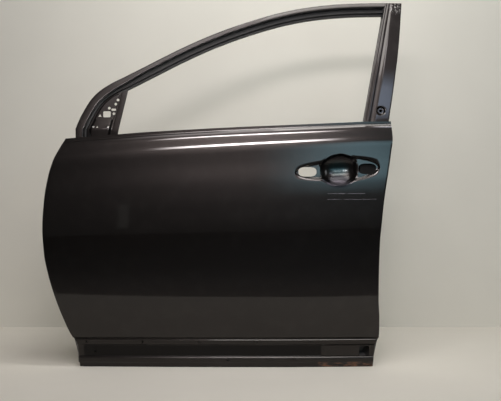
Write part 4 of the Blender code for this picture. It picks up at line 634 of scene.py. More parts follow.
def add_hem(work, chain, inward):
    """Rolls the skin's edge round the flange and lays it flat behind."""
    rows = [chain]
    for step in range(1, HEM_ARC_STEPS + 1):
        turn = math.pi * step / HEM_ARC_STEPS
        out = inward * -STACK * math.sin(turn) + Vector((0, STACK * (1 - math.cos(turn)), 0))
        rows.append([work.verts.new(vert.co + out) for vert in chain])
    for width in (HEM_WIDTH / 2, HEM_WIDTH):
        row = []
        for vert in chain:
            place = vert.co + ORIGIN
            moved = place + inward * width
            y = skin_y(moved.x, moved.z) - skin_y(place.x, place.z) + 2 * STACK
            row.append(new_vert(work, moved.x, place.y + y, moved.z))
        rows.append(row)
    fill_grid(work, rows)


def make_skin(finish):
    rows, hemmed, (j0, j1) = skin_row_places()
    columns, (i0, i1) = skin_column_shares()
    work = bmesh.new()
    table = []
    for j, row in enumerate(rows):
        line = []
        for i, share in enumerate(columns):
            if i0 < i < i1 and j0 < j < j1:
                line.append(None)
                continue
            z = row(share)
            roll = STACK if hemmed[0] <= j <= hemmed[1] else 0
            x = mix(front_edge(z) + roll, rear_edge(z) - roll, share)
            up = STACK if j == 0 and 0 < i < len(columns) - 1 else 0
            line.append(new_vert(work, x, skin_y(x, z), z + up))
        table.append(line)
    fill_grid(work, table)

    middle = (j0 + j1) // 2
    loop = [table[j][i1] for j in range(middle, j1)]
    loop += [table[j1][i] for i in range(i1, i0, -1)]
    loop += [table[j][i0] for j in range(j1, j0, -1)]
    loop += [table[j0][i] for i in range(i0, i1)]
    loop += [table[j][i1] for j in range(j0, middle)]
    add_pan(work, loop)

    for end, inward in ((0, 1), (-1, -1)):
        chain = [line[end] for line in table[hemmed[0]:hemmed[1] + 1]]
        add_hem(work, chain, Vector((inward, 0, 0)))
    add_hem(work, table[0][1:-1], Vector((0, 0, 1)))
    made = sheet_from(work, "pressed_skin")

    holes = bmesh.new()
    for offset, rise, height in HANDLE_HOLES:
        near = skin_y(PAN_X + offset, PAN_Z) + SHEET
        add_prism(holes, handle_hole(offset, rise, height), near, near + BOWL_DEPTH)
    land_holes = [
        (CLIP_FIRST_X + CLIP_PITCH * i, CLIP_HEIGHT, round_outline, CLIP_RADIUS)
        for i in range(CLIP_COUNT)]
    land_holes += [
        (along * BODY_LENGTH, up * LAND_HEIGHT, round_outline, LAND_HOLE_RADIUS)
        for along, up in LAND_HOLE_SHARES]
    land_holes.append((*LAND_WINDOW, box_outline, LAND_WINDOW_SIZE, LAND_WINDOW_CORNER))
    for x, z, shape, *size in land_holes:
        y = skin_y(x, z)
        add_prism(holes, shape(x, z, *size), y - HEM_LIFT, y + HEM_LIFT)
    cut(made, holes)
    finish_piece(made, "outer_panel", finish, SKIN_SMOOTH_ANGLE)


# Window frame

def smooth_path(points, count):
    """Evenly spaced points on a Catmull-Rom curve through the given points."""
    points = [Vector(point) for point in points]
    padded = [2 * points[0] - points[1]] + points + [2 * points[-1] - points[-2]]
    fine = []
    for p0, p1, p2, p3 in zip(padded, padded[1:], padded[2:], padded[3:]):
        for f in steps(0, 1, ARCH_STEPS)[:-1]:
            fine.append(0.5 * (
                2 * p1 + (p2 - p0) * f + (2 * p0 - 5 * p1 + 4 * p2 - p3) * f ** 2
                + (3 * p1 - 3 * p2 + p3 - p0) * f ** 3))
    fine.append(points[-1])
    reach = [0]
    for a, b in zip(fine, fine[1:]):
        reach.append(reach[-1] + (b - a).length)
    table_x = list(zip(reach, [point.x for point in fine]))
    table_z = list(zip(reach, [point.y for point in fine]))
    return [
        Vector((line_value(table_x, at), line_value(table_z, at)))
        for at in steps(0, reach[-1], count - 1)]


def arch_path():
    curve = [
        (share * BODY_LENGTH, BELT_HEIGHT + rise * FRAME_RISE) for share, rise in ARCH_SHARES]
    curve[0] = (curve[0][0], FRAME_BEND_Z)
    path = smooth_path(curve, RAIL_STATIONS)
    return [Vector((path[0].x, FRAME_FOOT_Z))] + path


ARCH = arch_path()


def rail_point(i, distance):
    """Station of the arch moved in towards the window: upright at its foot, short of the post."""
    before, after = ARCH[max(1, i - 1)], ARCH[min(len(ARCH) - 1, i + 1)]
    way = (after - before).normalized() if i > 1 else Vector((0, 1))
    moved = ARCH[i] + Vector((way.y, -way.x)) * distance
    limit = pillar_inner_x(moved.y) - POST_SEAT
    moved.x = limit if i == len(ARCH) - 1 else min(moved.x, limit)
    return moved


def arch_inset(distance):
    return [rail_point(i, distance) for i in range(len(ARCH))]


def rail_face(i):
    """Width of the rail's painted face, wider beside the mirror corner."""
    cad_station = 1 + (i - 1) / (RAIL_STATIONS - 1) * (ARCH_CAD_STATIONS - 1)
    share = cad_station / ARCH_CAD_STATIONS
    blend = (share - RAIL_FACE_START_SHARE) / (RAIL_FACE_END_SHARE - RAIL_FACE_START_SHARE)
    return mix(RAIL_FACE_FOOT, RAIL_FACE, min(1, max(0, blend)))


def rounded(section, radius, wider=None):
    """Section with its corners turned into short arcs; wider holds the reach of some of them."""
    points = [Vector(point) for point in section]
    result = [points[0]]
    for i, (before, corner, after) in enumerate(zip(points, points[1:], points[2:]), 1):
        back, on = before - corner, after - corner
        reach = (wider or {}).get(i, radius)
        reach = min(reach, back.length * ROUND_MOST, on.length * ROUND_MOST)
        start = corner + back.normalized() * reach
        end = corner + on.normalized() * reach
        for f in steps(0, 1, CORNER_STEPS):
            result.append(start * (1 - f) ** 2 + corner * 2 * f * (1 - f) + end * f ** 2)
    return result + [points[-1]]


def make_rail(name, node, section, radius, finish):
    """Sheet swept along the arch; section(station) lists distance in from the edge and depth."""
    rows = []
    for places in zip(*(rounded(section(i), radius) for i in range(len(ARCH)))):
        row = []
        for i, (distance, depth) in enumerate(places):
            point = rail_point(i, distance)
            row.append((point.x, frame_y(point.y) + depth, point.y))
        rows.append(row)
    made = pressed(name, rows)
    bake(made)
    finish_piece(made, node, finish)


def header_outer_section(i):
    face = rail_face(i)
    return ((0, RAIL_FLANGE_DEPTH), (0, 0), (face, 0), (face, RAIL_RETURN_DEPTH))


def header_inner_section(i):
    face = rail_face(i)
    return (
        (face + STACK, RAIL_RETURN_DEPTH - CHANNEL_DEPTH / 2), (face + STACK, CHANNEL_DEPTH),
        (RAIL_WIDTH - STRIP_WIDTH - RAIL_LIP, CHANNEL_DEPTH),
        (RAIL_WIDTH - STRIP_WIDTH, STRIP_DEPTH),
        (RAIL_WIDTH, STRIP_DEPTH), (RAIL_WIDTH, FRAME_DEPTH), (STACK, FRAME_DEPTH),
        (STACK, RAIL_FLANGE_DEPTH - CHANNEL_DEPTH / 2))


def pillar_section(z):
    inner, outer = pillar_inner_x(z), pillar_outer_x(z)
    rib = inner + PILLAR_STRIP + SHEET
    rib_end = rib + PILLAR_RIB_WIDTH * 3 / 2
    crease = mix(inner, outer, PILLAR_CREASE_SHARE)
    side = min(PILLAR_CREASE_SIDE, (crease - rib_end) * CREASE_SIDE_MOST)
    return (
        (inner, RAIL_RETURN_DEPTH), (inner, PILLAR_STRIP_DEPTH),
        (inner + PILLAR_STRIP, PILLAR_STRIP_DEPTH), (rib, 0), (rib_end, 0),
        (crease - side, PILLAR_RIB_DEPTH * side / PILLAR_CREASE_SIDE), (crease, 0),
        (outer, PILLAR_OUTER_SET),
        (outer, PILLAR_FLANGE_DEPTH))


def dimple(x, z):
    """Depth of the dimple at the foot of the rear post."""
    middle_z = BELT_HEIGHT + PILLAR_HOLE_RISE
    middle_x = mix(pillar_inner_x(middle_z), pillar_outer_x(middle_z), PILLAR_HOLE_SHARE)
    distance = math.hypot(x - middle_x, z - middle_z)
    return DIMPLE_DEPTH * ease((DIMPLE_RADIUS - distance) / (DIMPLE_DEPTH * 0.8))


def make_pillar(finish):
    """Face of the rear post: dense rows beside the dimple, its top edge turned back to a cap."""
    ends = [FRAME_FOOT_Z, *(BELT_HEIGHT + rise for rise in PILLAR_BANDS), FRAME_TOP_Z - PILLAR_TURN]
    heights = [FRAME_FOOT_Z]
    for low, high, count in zip(ends, ends[1:], PILLAR_ROWS):
        heights += steps(low, high, count)[1:]
    creased = {PILLAR_CREASE_POINT: PILLAR_CREASE_ROUND}
    rows = []
    for z in heights:
        points = rounded(pillar_section(z), PILLAR_ROUND, creased)
        face = []
        for i, (a, b) in enumerate(zip(points, points[1:])):
            corner, between = divmod(i, CORNER_STEPS + 1)
            on_face = between == 0 and corner in PILLAR_FACE_CORNERS
            count = PILLAR_COLUMNS if on_face else 1
            face += [a.lerp(b, f) for f in steps(0, 1, count)[:-1]]
        face.append(points[-1])
        row = []
        for point in face:
            set_in = dimple(point.x, z) if point.y < PILLAR_FLANGE_DEPTH / 2 else 0
            row.append((point.x, frame_y(z) + (set_in + point.y), z))
        rows.append(row)
    rims = []
    for f in steps(0, 1, PILLAR_TURN_STEPS)[1:]:
        turn = f * math.pi / 2
        rims.append((z + PILLAR_TURN * math.sin(turn), PILLAR_TURN * (1 - math.cos(turn))))
    for top, back in (*rims, (FRAME_TOP_Z, PILLAR_CAP_DEPTH)):
        y = frame_y(top) + back
        rows.append([(point.x, y + point.y, top) for point in face])
    made = pressed("rear_post_face", rows)
    holes = bmesh.new()
    z = BELT_HEIGHT + PILLAR_HOLE_RISE
    x = mix(pillar_inner_x(z), pillar_outer_x(z), PILLAR_HOLE_SHARE)
    y = frame_y(z) + DIMPLE_DEPTH
    outline = round_outline(x, z, PILLAR_HOLE_RADIUS)
    add_prism(holes, outline, y - PILLAR_HOLE_CUT, y + PILLAR_HOLE_CUT)
    cut(made, holes)
    keep_inside(made, CAD_BOX[0], (*CAD_BOX[1][:2], FRAME_TOP_Z + SHEET / 2 - ORIGIN.z))
    finish_piece(made, "lock_pillar_outer", finish)


SAIL_SIDE = [(point.y, point.x) for point in arch_inset(SAIL_INSET)]


def sail_edges(z):
    return line_value(SAIL_SIDE, z), post_x(z) - POST_WIDTH - SAIL_POST_CLEARANCE


def sail_tip_z():
    low, high = BELT_HEIGHT, FRAME_TOP_Z
    for _ in range(FINDING_STEPS):
        middle = (low + high) / 2
        front, rear = sail_edges(middle)
        if rear - front > SAIL_TIP_WIDTH:
            low = middle
        else:
            high = middle
    return low


SAIL_TIP_Z = sail_tip_z()


def sail_place(shares):
    z = mix(BELT_HEIGHT, SAIL_TIP_Z, shares[1])
    return mix(*sail_edges(z), shares[0]), z


MIRROR_CUTS = [(shares, round_outline, MIRROR_HOLE_RADIUS) for shares in MIRROR_HOLE_SHARES]
MIRROR_CUTS.append((MIRROR_NOTCH_SHARES, round_outline, MIRROR_NOTCH_RADIUS, *TRIANGLE))
SAIL_CUTS = [(shares, round_outline, SAIL_HOLE_RADIUS) for shares in SAIL_HOLE_SHARES]
SAIL_CUTS += MIRROR_CUTS + [
    (SAIL_NOTCH_SHARES, round_outline, SAIL_NOTCH_RADIUS, *TRIANGLE),
    (SAIL_WINDOW_SHARES, box_outline, SAIL_WINDOW_SIZE, SAIL_WINDOW_CORNER),
    (SAIL_SLOT_SHARES, box_outline, SAIL_SLOT_SIZE, SAIL_SLOT_CORNER)]


def cut_plate(made, cuts, depth):
    """Cuts holes into a plate of the mirror corner: place, outline function and its sizes."""
    holes = bmesh.new()
    for shares, shape, *size in cuts:
        x, z = sail_place(shares)
        y = frame_y(z) + depth
        add_prism(holes, shape(x, z, *size), y - PLATE_CUT, y + PLATE_CUT)
    cut(made, holes)


def sail_field(border, up):
    """Share of the raised field at a way in from the plate's sides and up the plate."""
    share = ease((border - SAIL_FIELD_BORDER) / SAIL_FIELD_BORDER)
    share *= ease((up - SAIL_FIELD_LOW) / SAIL_FIELD_FADE)
    return share * ease((SAIL_FIELD_HIGH - up) / SAIL_FIELD_FADE)


def make_sail(finish):
    """Perforated triangle, with a raised field round its holes."""
    heights = steps(FRAME_FOOT_Z + RAIL_WIDTH, FRAME_BEND_Z, SAIL_ROWS[0])
    heights += steps(FRAME_BEND_Z, SAIL_TIP_Z, SAIL_ROWS[1])[1:]
    rows = []
    for z in heights:
        front, rear = sail_edges(z)
        up = (z - BELT_HEIGHT) / (SAIL_TIP_Z - BELT_HEIGHT)
        row = []
        for x in steps(front, rear, SAIL_COLUMNS):
            raised = SAIL_FIELD_RISE * sail_field(min(x - front, rear - x), up)
            row.append((x, frame_y(z) + SAIL_DEPTH - raised, z))
        rows.append(row)
    made = pressed("mirror_corner_plate", rows)
    cut_plate(made, SAIL_CUTS, SAIL_DEPTH)
    finish_piece(made, "mirror_sail_plate", finish)


def make_mirror_bracket(finish):
    seat = SAIL_DEPTH - LEAN_STACK
    heights = steps(BELT_HEIGHT - MIRROR_PLATE_DROP, FRAME_BEND_Z, BRACKET_ROWS[0])
    heights += steps(FRAME_BEND_Z, BELT_HEIGHT + MIRROR_PLATE_RISE, BRACKET_ROWS[1])[1:]
    rows = []
    for z in heights:
        front, rear = sail_edges(z)
        section = (
            (front + SEAT, 0), (front + MIRROR_PLATE_FLANGE, 0),
            (front + 2 * MIRROR_PLATE_FLANGE, -MIRROR_PLATE_SET),
            (rear - 2 * MIRROR_PLATE_FLANGE, -MIRROR_PLATE_SET), (rear - MIRROR_PLATE_FLANGE, 0),
            (rear - SEAT, 0))
        y = frame_y(z) + seat
        points = rounded(section, BRACKET_ROUND)
        rows.append([(point.x, y + point.y, z) for point in points])
    made = pressed("mirror_bracket_plate", rows)
    cut_plate(made, MIRROR_CUTS, seat - MIRROR_PLATE_SET)
    finish_piece(made, "mirror_bracket", finish)


def under_arch_z(offset):
    """Height where the division post meets the underside of the arch."""
    table = [(point.x, point.y) for point in arch_inset(RAIL_WIDTH + SHEET / 2 + POST_SEAT)[2:]]
    z = BELT_HEIGHT
    for _ in range(FINDING_STEPS):
        z = line_value(table, post_x(z) + offset)
    return z


def make_division_post(finish):
    section = rounded((
        (0, POST_OUTER_DEPTH), (-POST_WIDTH, POST_OUTER_DEPTH), (-POST_WIDTH, GUIDE_INNER_DEPTH),
        (0, GUIDE_INNER_DEPTH)), POST_ROUND)
    rows = []
    for f in steps(0, 1, POST_ROWS):
        row = []
        for offset, depth in section:
            z = mix(GUIDE_FOOT_Z, under_arch_z(offset), f)
            row.append((post_x(z) + offset, frame_y(z) + depth, z))
        rows.append(row)
    made = pressed("division_post", rows)
    bake(made)
    finish_piece(made, "front_glass_guide", finish)


# Finishes

def add_node(tree, kind, inputs=(), **settings):
    """Shader node whose inputs are values or the outputs of other nodes."""
    made = tree.nodes.new("ShaderNode" + kind)
    for key, value in settings.items():
        setattr(made, key, value)
    for socket, value in dict(inputs).items():
        target = made.inputs[socket]
        if isinstance(value, bpy.types.NodeSocket):
            tree.links.new(value, target)
        else:
            target.default_value = value
    return made


class Finish:
    """A Principled material and short calls for the nodes that vary it over the surface."""

    def __init__(self, name, colour, roughness, metallic, **sockets):
        self.material = bpy.data.materials.new(name)
        self.material.use_nodes = True
        self.tree = self.material.node_tree
        self.shader = self.tree.nodes["Principled BSDF"]
        self.shader.inputs["Base Color"].default_value = (*colour, 1)
        self.shader.inputs["Roughness"].default_value = roughness
        self.shader.inputs["Metallic"].default_value = metallic
        for socket, value in sockets.items():
            self.shader.inputs[socket.replace("_", " ")].default_value = value
        self.place = self.node("TexCoord").outputs["Object"]

    def node(self, kind, inputs=(), **settings):
        return add_node(self.tree, kind, inputs, **settings)

    def noise(self, scale, detail=4, place=None, roughness=0.5):
        return self.node("TexNoise", {
            "Vector": place or self.place, "Scale": scale, "Detail": detail,
            "Roughness": roughness}).outputs["Fac"]

    def ramp(self, value, low, high):
        """0 below low, 1 above high, smooth between."""
        limits = {"Value": value, "From Min": low, "From Max": high}
        return self.node("MapRange", limits, interpolation_type="SMOOTHSTEP").outputs[0]

    def math(self, operation, a, b=0.0):
        return self.node("Math", {0: a, 1: b}, operation=operation).outputs[0]

    def times(self, a, b):
        return self.math("MULTIPLY", a, b)

    def colour_mix(self, share, a, b):
        a, b = ((*value, 1) if isinstance(value, tuple) else value for value in (a, b))
        return self.node("Mix", {0: share, 6: a, 7: b}, data_type="RGBA").outputs[2]

    def value_mix(self, share, a, b):
        return self.node("Mix", {0: share, 2: a, 3: b}, data_type="FLOAT").outputs[0]

    def axis(self, name):
        return self.node("SeparateXYZ", {0: self.place}).outputs[name]

    def stretched(self, scale):
        return self.node("Mapping", {"Vector": self.place, "Scale": scale}).outputs[0]

    def box_mask(self, low, high, soft):
        """1 inside a box in X and Z of the drafting frame, fading over a short way."""
        sides = []
        for axis, start, end, shift in zip("XZ", low, high, (ORIGIN.x, ORIGIN.z)):
            value = self.axis(axis)
            after = self.ramp(value, start - shift - soft, start - shift)
            before = self.ramp(self.times(value, -1.0), shift - end - soft, shift - end)
            sides.append(self.times(after, before))
        return self.times(*sides)

    def oval_mask(self, middle, half, soft):
        """1 inside an ellipse in X and Z of the drafting frame, fading towards its rim."""
        squares = []
        for axis, place, reach, shift in zip("XZ", middle, half, (ORIGIN.x, ORIGIN.z)):
            away = self.math("DIVIDE", self.math("SUBTRACT", self.axis(axis), place - shift), reach)
            squares.append(self.times(away, away))
        away = self.math("SQRT", self.math("ADD", *squares))
        return self.ramp(self.times(away, -1.0), -1.0, soft - 1.0)

    def set(self, socket, value):
        self.tree.links.new(value, self.shader.inputs[socket])

    def bump(self, height, strength, distance):
        made = self.node("Bump", {"Height": height, "Strength": strength, "Distance": distance})
        self.set("Normal", made.outputs[0])


# Colours of the paint, its marks and its painted shade, reflection and sheen, as boxes and ovals in
# X and Z of the drafting frame
METAL = 0.92
BROWN_GREY = (0.0200, 0.0172, 0.0150)
VIOLET_GREY = (0.0265, 0.0222, 0.0222)
FLAKE_SCALE = 1100.0
FLAKE_SHARE = 0.55
DUST = (0.20, 0.19, 0.17)
RUST = (0.13, 0.055, 0.025)
RUST_BOX = ((0.905, -0.01), (1.095, 0.014), 0.006)
# Painted shade: a darker grey laid in the lower land's groove, where the recess falls in shadow
RECESS_PAINTED_SHADE = (0.010, 0.009, 0.009)
RECESS_BOX = ((0.125, 0.038), (0.911, 0.072), 0.004)
LAND_BOX = ((-0.1, -0.1), (1.3, LAND_HEIGHT - 0.004), 0.004)
BOWL_OVAL = ((PAN_X, PAN_Z), (BOWL_HALF_LENGTH, BOWL_HALF_HEIGHT), 0.22)
# Painted reflection: a teal tint in the middle of the handle bowl, and the oval it fills, standing
# in for the teal light the bowl mirrors
BOWL_PAINTED_TEAL_REFLECTION = (0.016, 0.036, 0.041)
TEAL_REFLECTION_OVAL = ((PAN_X, PAN_Z + 0.005), (0.050, 0.032), 0.7)
# Painted sheen: an even, darker mauve low in the bowl, standing in for the soft reflection there
BOWL_FOOT_PAINTED_SHEEN = (0.017, 0.0155, 0.019)
FOOT_OVAL = ((PAN_X, PAN_Z - 0.038), (0.052, 0.026), 0.45)
# Painted sheen: a much lighter mauve along the bowl's lower rim, which faces up to the lamps
RIM_PAINTED_SHEEN = (0.105, 0.094, 0.110)
RIM_OVAL = ((PAN_X, PAN_Z - 0.0430), (0.046, 0.0105), 0.6)
# Two thin pale lines below the handle, broken along their length
PALE_LINE_GREY = (0.30, 0.27, 0.29)
PALE_LINE_BOXES = (
    ((0.928, 0.5790), (1.050, 0.5803), 0.0006), ((0.928, 0.5600), (1.086, 0.5612), 0.0006))
WORN_PRIMER = (0.42, 0.40, 0.39)
WORN_OVAL = ((1.168, 1.201), (0.026, 0.025), 0.6)

# Clear coat: its roughness, the heights between which it dulls, and its weight on each part
COAT_ROUGHNESS = 0.045
BOWL_COAT_ROUGHNESS = 0.20
COAT_DULLS_FROM = 0.32
COAT_DULLS_TO = 0.12
LOW_COAT = 0.60
LAND_COAT = 0.42
RECESS_COAT = 0.18
BOWL_COAT = 0.62
FOOT_COAT = 0.14


def body_marks_and_painted_light(made, colour, rough, metal, coat):
    """Rusty lower edge, painted shade in the groove, duller coat low down, painted teal reflection
    and mauve sheen in the bowl, and two thin pale lines below the handle.
    """
    blotches = made.noise(1.0, 5, made.stretched((40, 40, 130)))
    rust = made.times(made.box_mask(*RUST_BOX), made.ramp(blotches, 0.44, 0.62))
    colour = made.colour_mix(rust, colour, RUST)
    rough = made.value_mix(rust, rough, 0.85)
    metal = made.value_mix(rust, metal, 0.0)
    recess = made.box_mask(*RECESS_BOX)
    # Painted shade in the groove of the lower land
    colour = made.colour_mix(recess, colour, RECESS_PAINTED_SHADE)
    below = made.times(made.axis("Z"), -1.0)
    low_down = made.ramp(below, ORIGIN.z - COAT_DULLS_FROM, ORIGIN.z - COAT_DULLS_TO)
    bowl, foot, rim = (made.oval_mask(*oval) for oval in (BOWL_OVAL, FOOT_OVAL, RIM_OVAL))
    for share, weight in (
            (low_down, LOW_COAT), (made.box_mask(*LAND_BOX), LAND_COAT), (recess, RECESS_COAT),
            (bowl, BOWL_COAT), (foot, FOOT_COAT)):
        coat = made.value_mix(share, coat, weight)
    made.set("Coat Weight", coat)
    made.set("Coat Roughness", made.value_mix(bowl, COAT_ROUGHNESS, BOWL_COAT_ROUGHNESS))
    # Painted sheen: mauve low in the bowl
    colour = made.colour_mix(foot, colour, BOWL_FOOT_PAINTED_SHEEN)
    # Painted sheen: lighter mauve on the bowl's rim
    colour = made.colour_mix(rim, colour, RIM_PAINTED_SHEEN)
    rough = made.value_mix(rim, rough, 0.55)
    # Painted reflection: teal in the middle of the bowl
    colour = made.colour_mix(made.oval_mask(*TEAL_REFLECTION_OVAL), colour, BOWL_PAINTED_TEAL_REFLECTION)
    pale_lines = made.math("MAXIMUM", *(made.box_mask(*box) for box in PALE_LINE_BOXES))
    broken = made.ramp(made.noise(1.0, 3, made.stretched((60, 60, 900))), 0.36, 0.52)
    pale_lines = made.times(pale_lines, made.times(broken, 0.55))
    return (
        made.colour_mix(pale_lines, colour, PALE_LINE_GREY), made.value_mix(pale_lines, rough, 0.6),
        metal)


def worn_corner(made, colour, rough, metal):
    """Speckled wear at the top corner of the rear post."""
    specks = made.times(made.ramp(made.noise(190.0, 4), 0.50, 0.62), 0.7)
    worn = made.times(made.oval_mask(*WORN_OVAL), specks)
    return (
        made.colour_mix(worn, colour, WORN_PRIMER), made.value_mix(worn, rough, 0.7),
        made.value_mix(worn, metal, 0.0))


def paint(name, roughness, coat, dusty, on_body):
    """Dark metallic paint: fine flake under clear coat, a little dust, and the marks it has, which
    on the body take in painted shade, painted reflection and painted sheen.
    """
    made = Finish(
        name, BROWN_GREY, roughness, METAL, Coat_Weight=coat, Coat_Roughness=COAT_ROUGHNESS)
    flake = made.node("TexVoronoi", {"Vector": made.place, "Scale": FLAKE_SCALE}).outputs["Color"]
    sparkle = made.node("SeparateXYZ", {0: flake}).outputs["X"]
    tint = made.math(
        "ADD", made.times(sparkle, FLAKE_SHARE),
        made.times(made.noise(7.0, 3), 1 - FLAKE_SHARE))
    colour = made.colour_mix(tint, BROWN_GREY, VIOLET_GREY)
    film = made.times(made.ramp(made.noise(22.0, 6), 0.45, 0.80), dusty)
    colour = made.colour_mix(film, colour, DUST)
    rough = made.times(made.noise(60.0, 5), 0.10)
    rough = made.math("ADD", rough, roughness - 0.05)
    metal = made.value_mix(film, METAL, 0.0)
    if on_body:
        colour, rough, metal = body_marks_and_painted_light(made, colour, rough, metal, coat)
    else:
        colour, rough, metal = worn_corner(made, colour, rough, metal)
    made.set("Base Color", colour)
    made.set("Roughness", rough)
    made.set("Metallic", metal)
    made.bump(made.noise(420.0, 2), 0.05, 0.0002)
    return made.material


def satin(name, colour, roughness, metallic, spots=True, coat=0.15):
    """Thin satin paint of the hidden faces, with overspray, dust and darker runs."""
    made = Finish(name, colour, roughness, metallic, Coat_Weight=coat, Coat_Roughness=0.25)
    cloud = made.ramp(made.noise(9.0, 6), 0.30, 0.75)
    dark = tuple(channel * 0.62 for channel in colour)
    light = tuple(channel * 1.45 for channel in colour)
    shade = made.colour_mix(cloud, dark, light)
    if spots:
        grime = made.times(made.ramp(made.noise(34.0, 8), 0.55, 0.75), 0.35)
        shade = made.colour_mix(grime, shade, (0.12, 0.11, 0.09))
    made.set("Base Color", shade)
    made.set("Roughness", made.math(
        "ADD", made.times(made.noise(48.0, 5), 0.22), roughness - 0.1))
    made.bump(made.noise(520.0, 3), 0.10, 0.0002)
    return made.material


def zinc(name):
    made = Finish(name, (0.42, 0.42, 0.43), 0.42, 0.9)
    cells = made.node("TexVoronoi", {"Vector": made.place, "Scale": 260.0}).outputs["Distance"]
    made.set("Base Color", made.colour_mix(cells, (0.30, 0.30, 0.31), (0.55, 0.55, 0.56)))
    made.set("Roughness", made.math("ADD", made.times(made.noise(80.0), 0.25), 0.28))
    made.bump(made.noise(300.0), 0.15, 0.0002)
    return made.material


def rubber(name, colour):
    made = Finish(name, colour, 0.88, 0.0)
    lumps = made.noise(120.0, 6)
    light = tuple(channel * 1.5 for channel in colour)
    made.set("Base Color", made.colour_mix(lumps, colour, light))
    made.bump(lumps, 0.5, 0.0008)
    return made.material


# Studio

def stage_plane(name, centre, size, turn, colour, one_sided=False):
    """Flat part of the room; a one-sided one can't be seen from behind."""
    work = bmesh.new()
    bmesh.ops.create_grid(work, x_segments=1, y_segments=1, size=0.5)
    matrix = Matrix.Translation(centre) @ Matrix.Rotation(turn, 4, "X")
    matrix @= Matrix.Diagonal((*size, 1, 1))
    bmesh.ops.transform(work, matrix=matrix, verts=work.verts[:])
    made = add_mesh(work, name)
    finish = Finish(name, colour, 0.85, 0.0)
    mottle = finish.ramp(finish.noise(3.0, 3), 0.3, 0.7)
    dim = tuple(channel * 0.97 for channel in colour)
    finish.set("Base Color", finish.colour_mix(mottle, dim, colour))
    if one_sided:
        clear = finish.node("BsdfTransparent").outputs[0]
        behind = finish.node("NewGeometry").outputs["Backfacing"]
        shown = finish.node("MixShader", {0: behind, 1: finish.shader.outputs[0], 2: clear})
        output = finish.tree.nodes["Material Output"]
        finish.tree.links.new(shown.outputs[0], output.inputs["Surface"])
    made.data.materials.append(finish.material)


def area_light(name, place, target, size, radiance, colour, soft, spread):
    """Rectangular lamp; soft over 0 fades it towards its edges, spread is its beam in degrees."""
    lamp = bpy.data.lights.new(name, "AREA")
    lamp.spread = math.radians(spread)
    lamp.shape = "RECTANGLE"
    lamp.size, lamp.size_y = size
    lamp.energy = radiance * math.pi * size[0] * size[1]
    lamp.color = colour
    if soft:
        fade_edges(lamp, soft)
    made = add_object(name, lamp)
    made.location = place
    made.rotation_euler = (Vector(target) - Vector(place)).to_track_quat("-Z", "Y").to_euler()
    made.visible_camera = False


def fade_edges(lamp, soft):
    """Fades a lamp over a share of its size at each edge."""
    lamp.use_nodes = True
    tree = lamp.node_tree
    place = add_node(tree, "NewGeometry").outputs["Parametric"]
    fades = []
    for way in add_node(tree, "SeparateXYZ", {0: place}).outputs[:2]:
        inward = add_node(tree, "Math", {0: way, 1: 0.5}, operation="PINGPONG").outputs[0]
        limits = {"Value": inward, "From Max": soft}
        fades.append(add_node(tree, "MapRange", limits, interpolation_type="SMOOTHSTEP").outputs[0])
    product = add_node(tree, "Math", dict(enumerate(fades)), operation="MULTIPLY")
    tree.links.new(product.outputs[0], tree.nodes["Emission"].inputs["Strength"])


FLOOR_Z = -0.5757
FLOOR_FRONT_Y = -0.60
FLOOR_BACK_Y = 3.0
WALL_Y = 0.70
ROOM_X = 0.6
ROOM_WIDTH = 9.0
FLOOR = (0.70, 0.67, 0.605)
OUTER_FLOOR = (0.10, 0.10, 0.10)
WALL = (0.66, 0.645, 0.585)
ROSE = (1.0, 0.93, 0.93)
CREAM = (1.0, 0.97, 0.92)
IVORY = (1.0, 0.98, 0.95)

# Name, place, target, size, radiance, colour, share that fades at each edge, beam in degrees
LAMPS = (
    ("ceiling", (0.34, -1.70, 2.15), (0.34, 0.0, 0.2), (1.7, 1.5), 5.6, ROSE, 0.45, 180),
    ("key", (0.60, -2.55, 1.22), (0.60, 0.0, 0.2), (1.6, 0.30), 11.5, ROSE, 0.40, 80),
    ("wall_wash", (0.95, -0.60, 2.10), (0.70, 0.70, 0.80), (1.2, 0.5), 8.0, (1.0, 0.99, 0.95),
     0, 120),
    ("floor_wash", (1.10, -1.9, 2.4), (0.95, -0.3, -0.6), (0.8, 0.6), 2.4, CREAM, 0, 80),
    ("teal_screen", (1.62, -3.3, 0.70), (0.9, 0.0, 0.1), (2.1, 0.9), 2.6, (0.50, 0.86, 1.0),
     0.5, 180),
    ("strip_light", (-0.35, -3.2, 0.02), (0.2, 0.0, 0.0), (0.12, 0.62), 0.14, (1.0, 1.0, 0.92),
     0.3, 180),
    ("crease_light", (1.64, -1.87, 1.98), (1.05, 0.1, 0.4), (0.25, 0.34), 20, ROSE, 0.4, 180),
    ("slate_light", (1.80, -1.87, 1.62), (1.08, 0.1, 0.3), (0.7, 0.34), 6.0, (0.62, 0.76, 1.0),
     0.4, 180),
    ("side_left", (-2.2, -1.0, 1.1), (0.4, 0.1, 0.0), (0.8, 1.2), 0.4, (1.0, 0.97, 0.95),
     0.3, 180),
    ("side_right", (3.0, -0.9, 1.0), (0.9, 0.2, 0.1), (0.8, 1.2), 4, (0.92, 0.98, 1.0), 0.3, 180),
    ("back_fill", (0.5, 3.0, 1.7), (0.5, 0.1, 0.0), (3.0, 1.8), 2.4, IVORY, 0.3, 90))
WORLD_STRENGTH = 0.06

# The photo's viewing angle: 3 m away and tipped down 3 degrees
CAMERA_PLACE = (0.6437, -3.068, 0.1399)
CAMERA_TURN = math.radians(87)
SENSOR_WIDTH = 36
FOCAL_LENGTH = 66.83


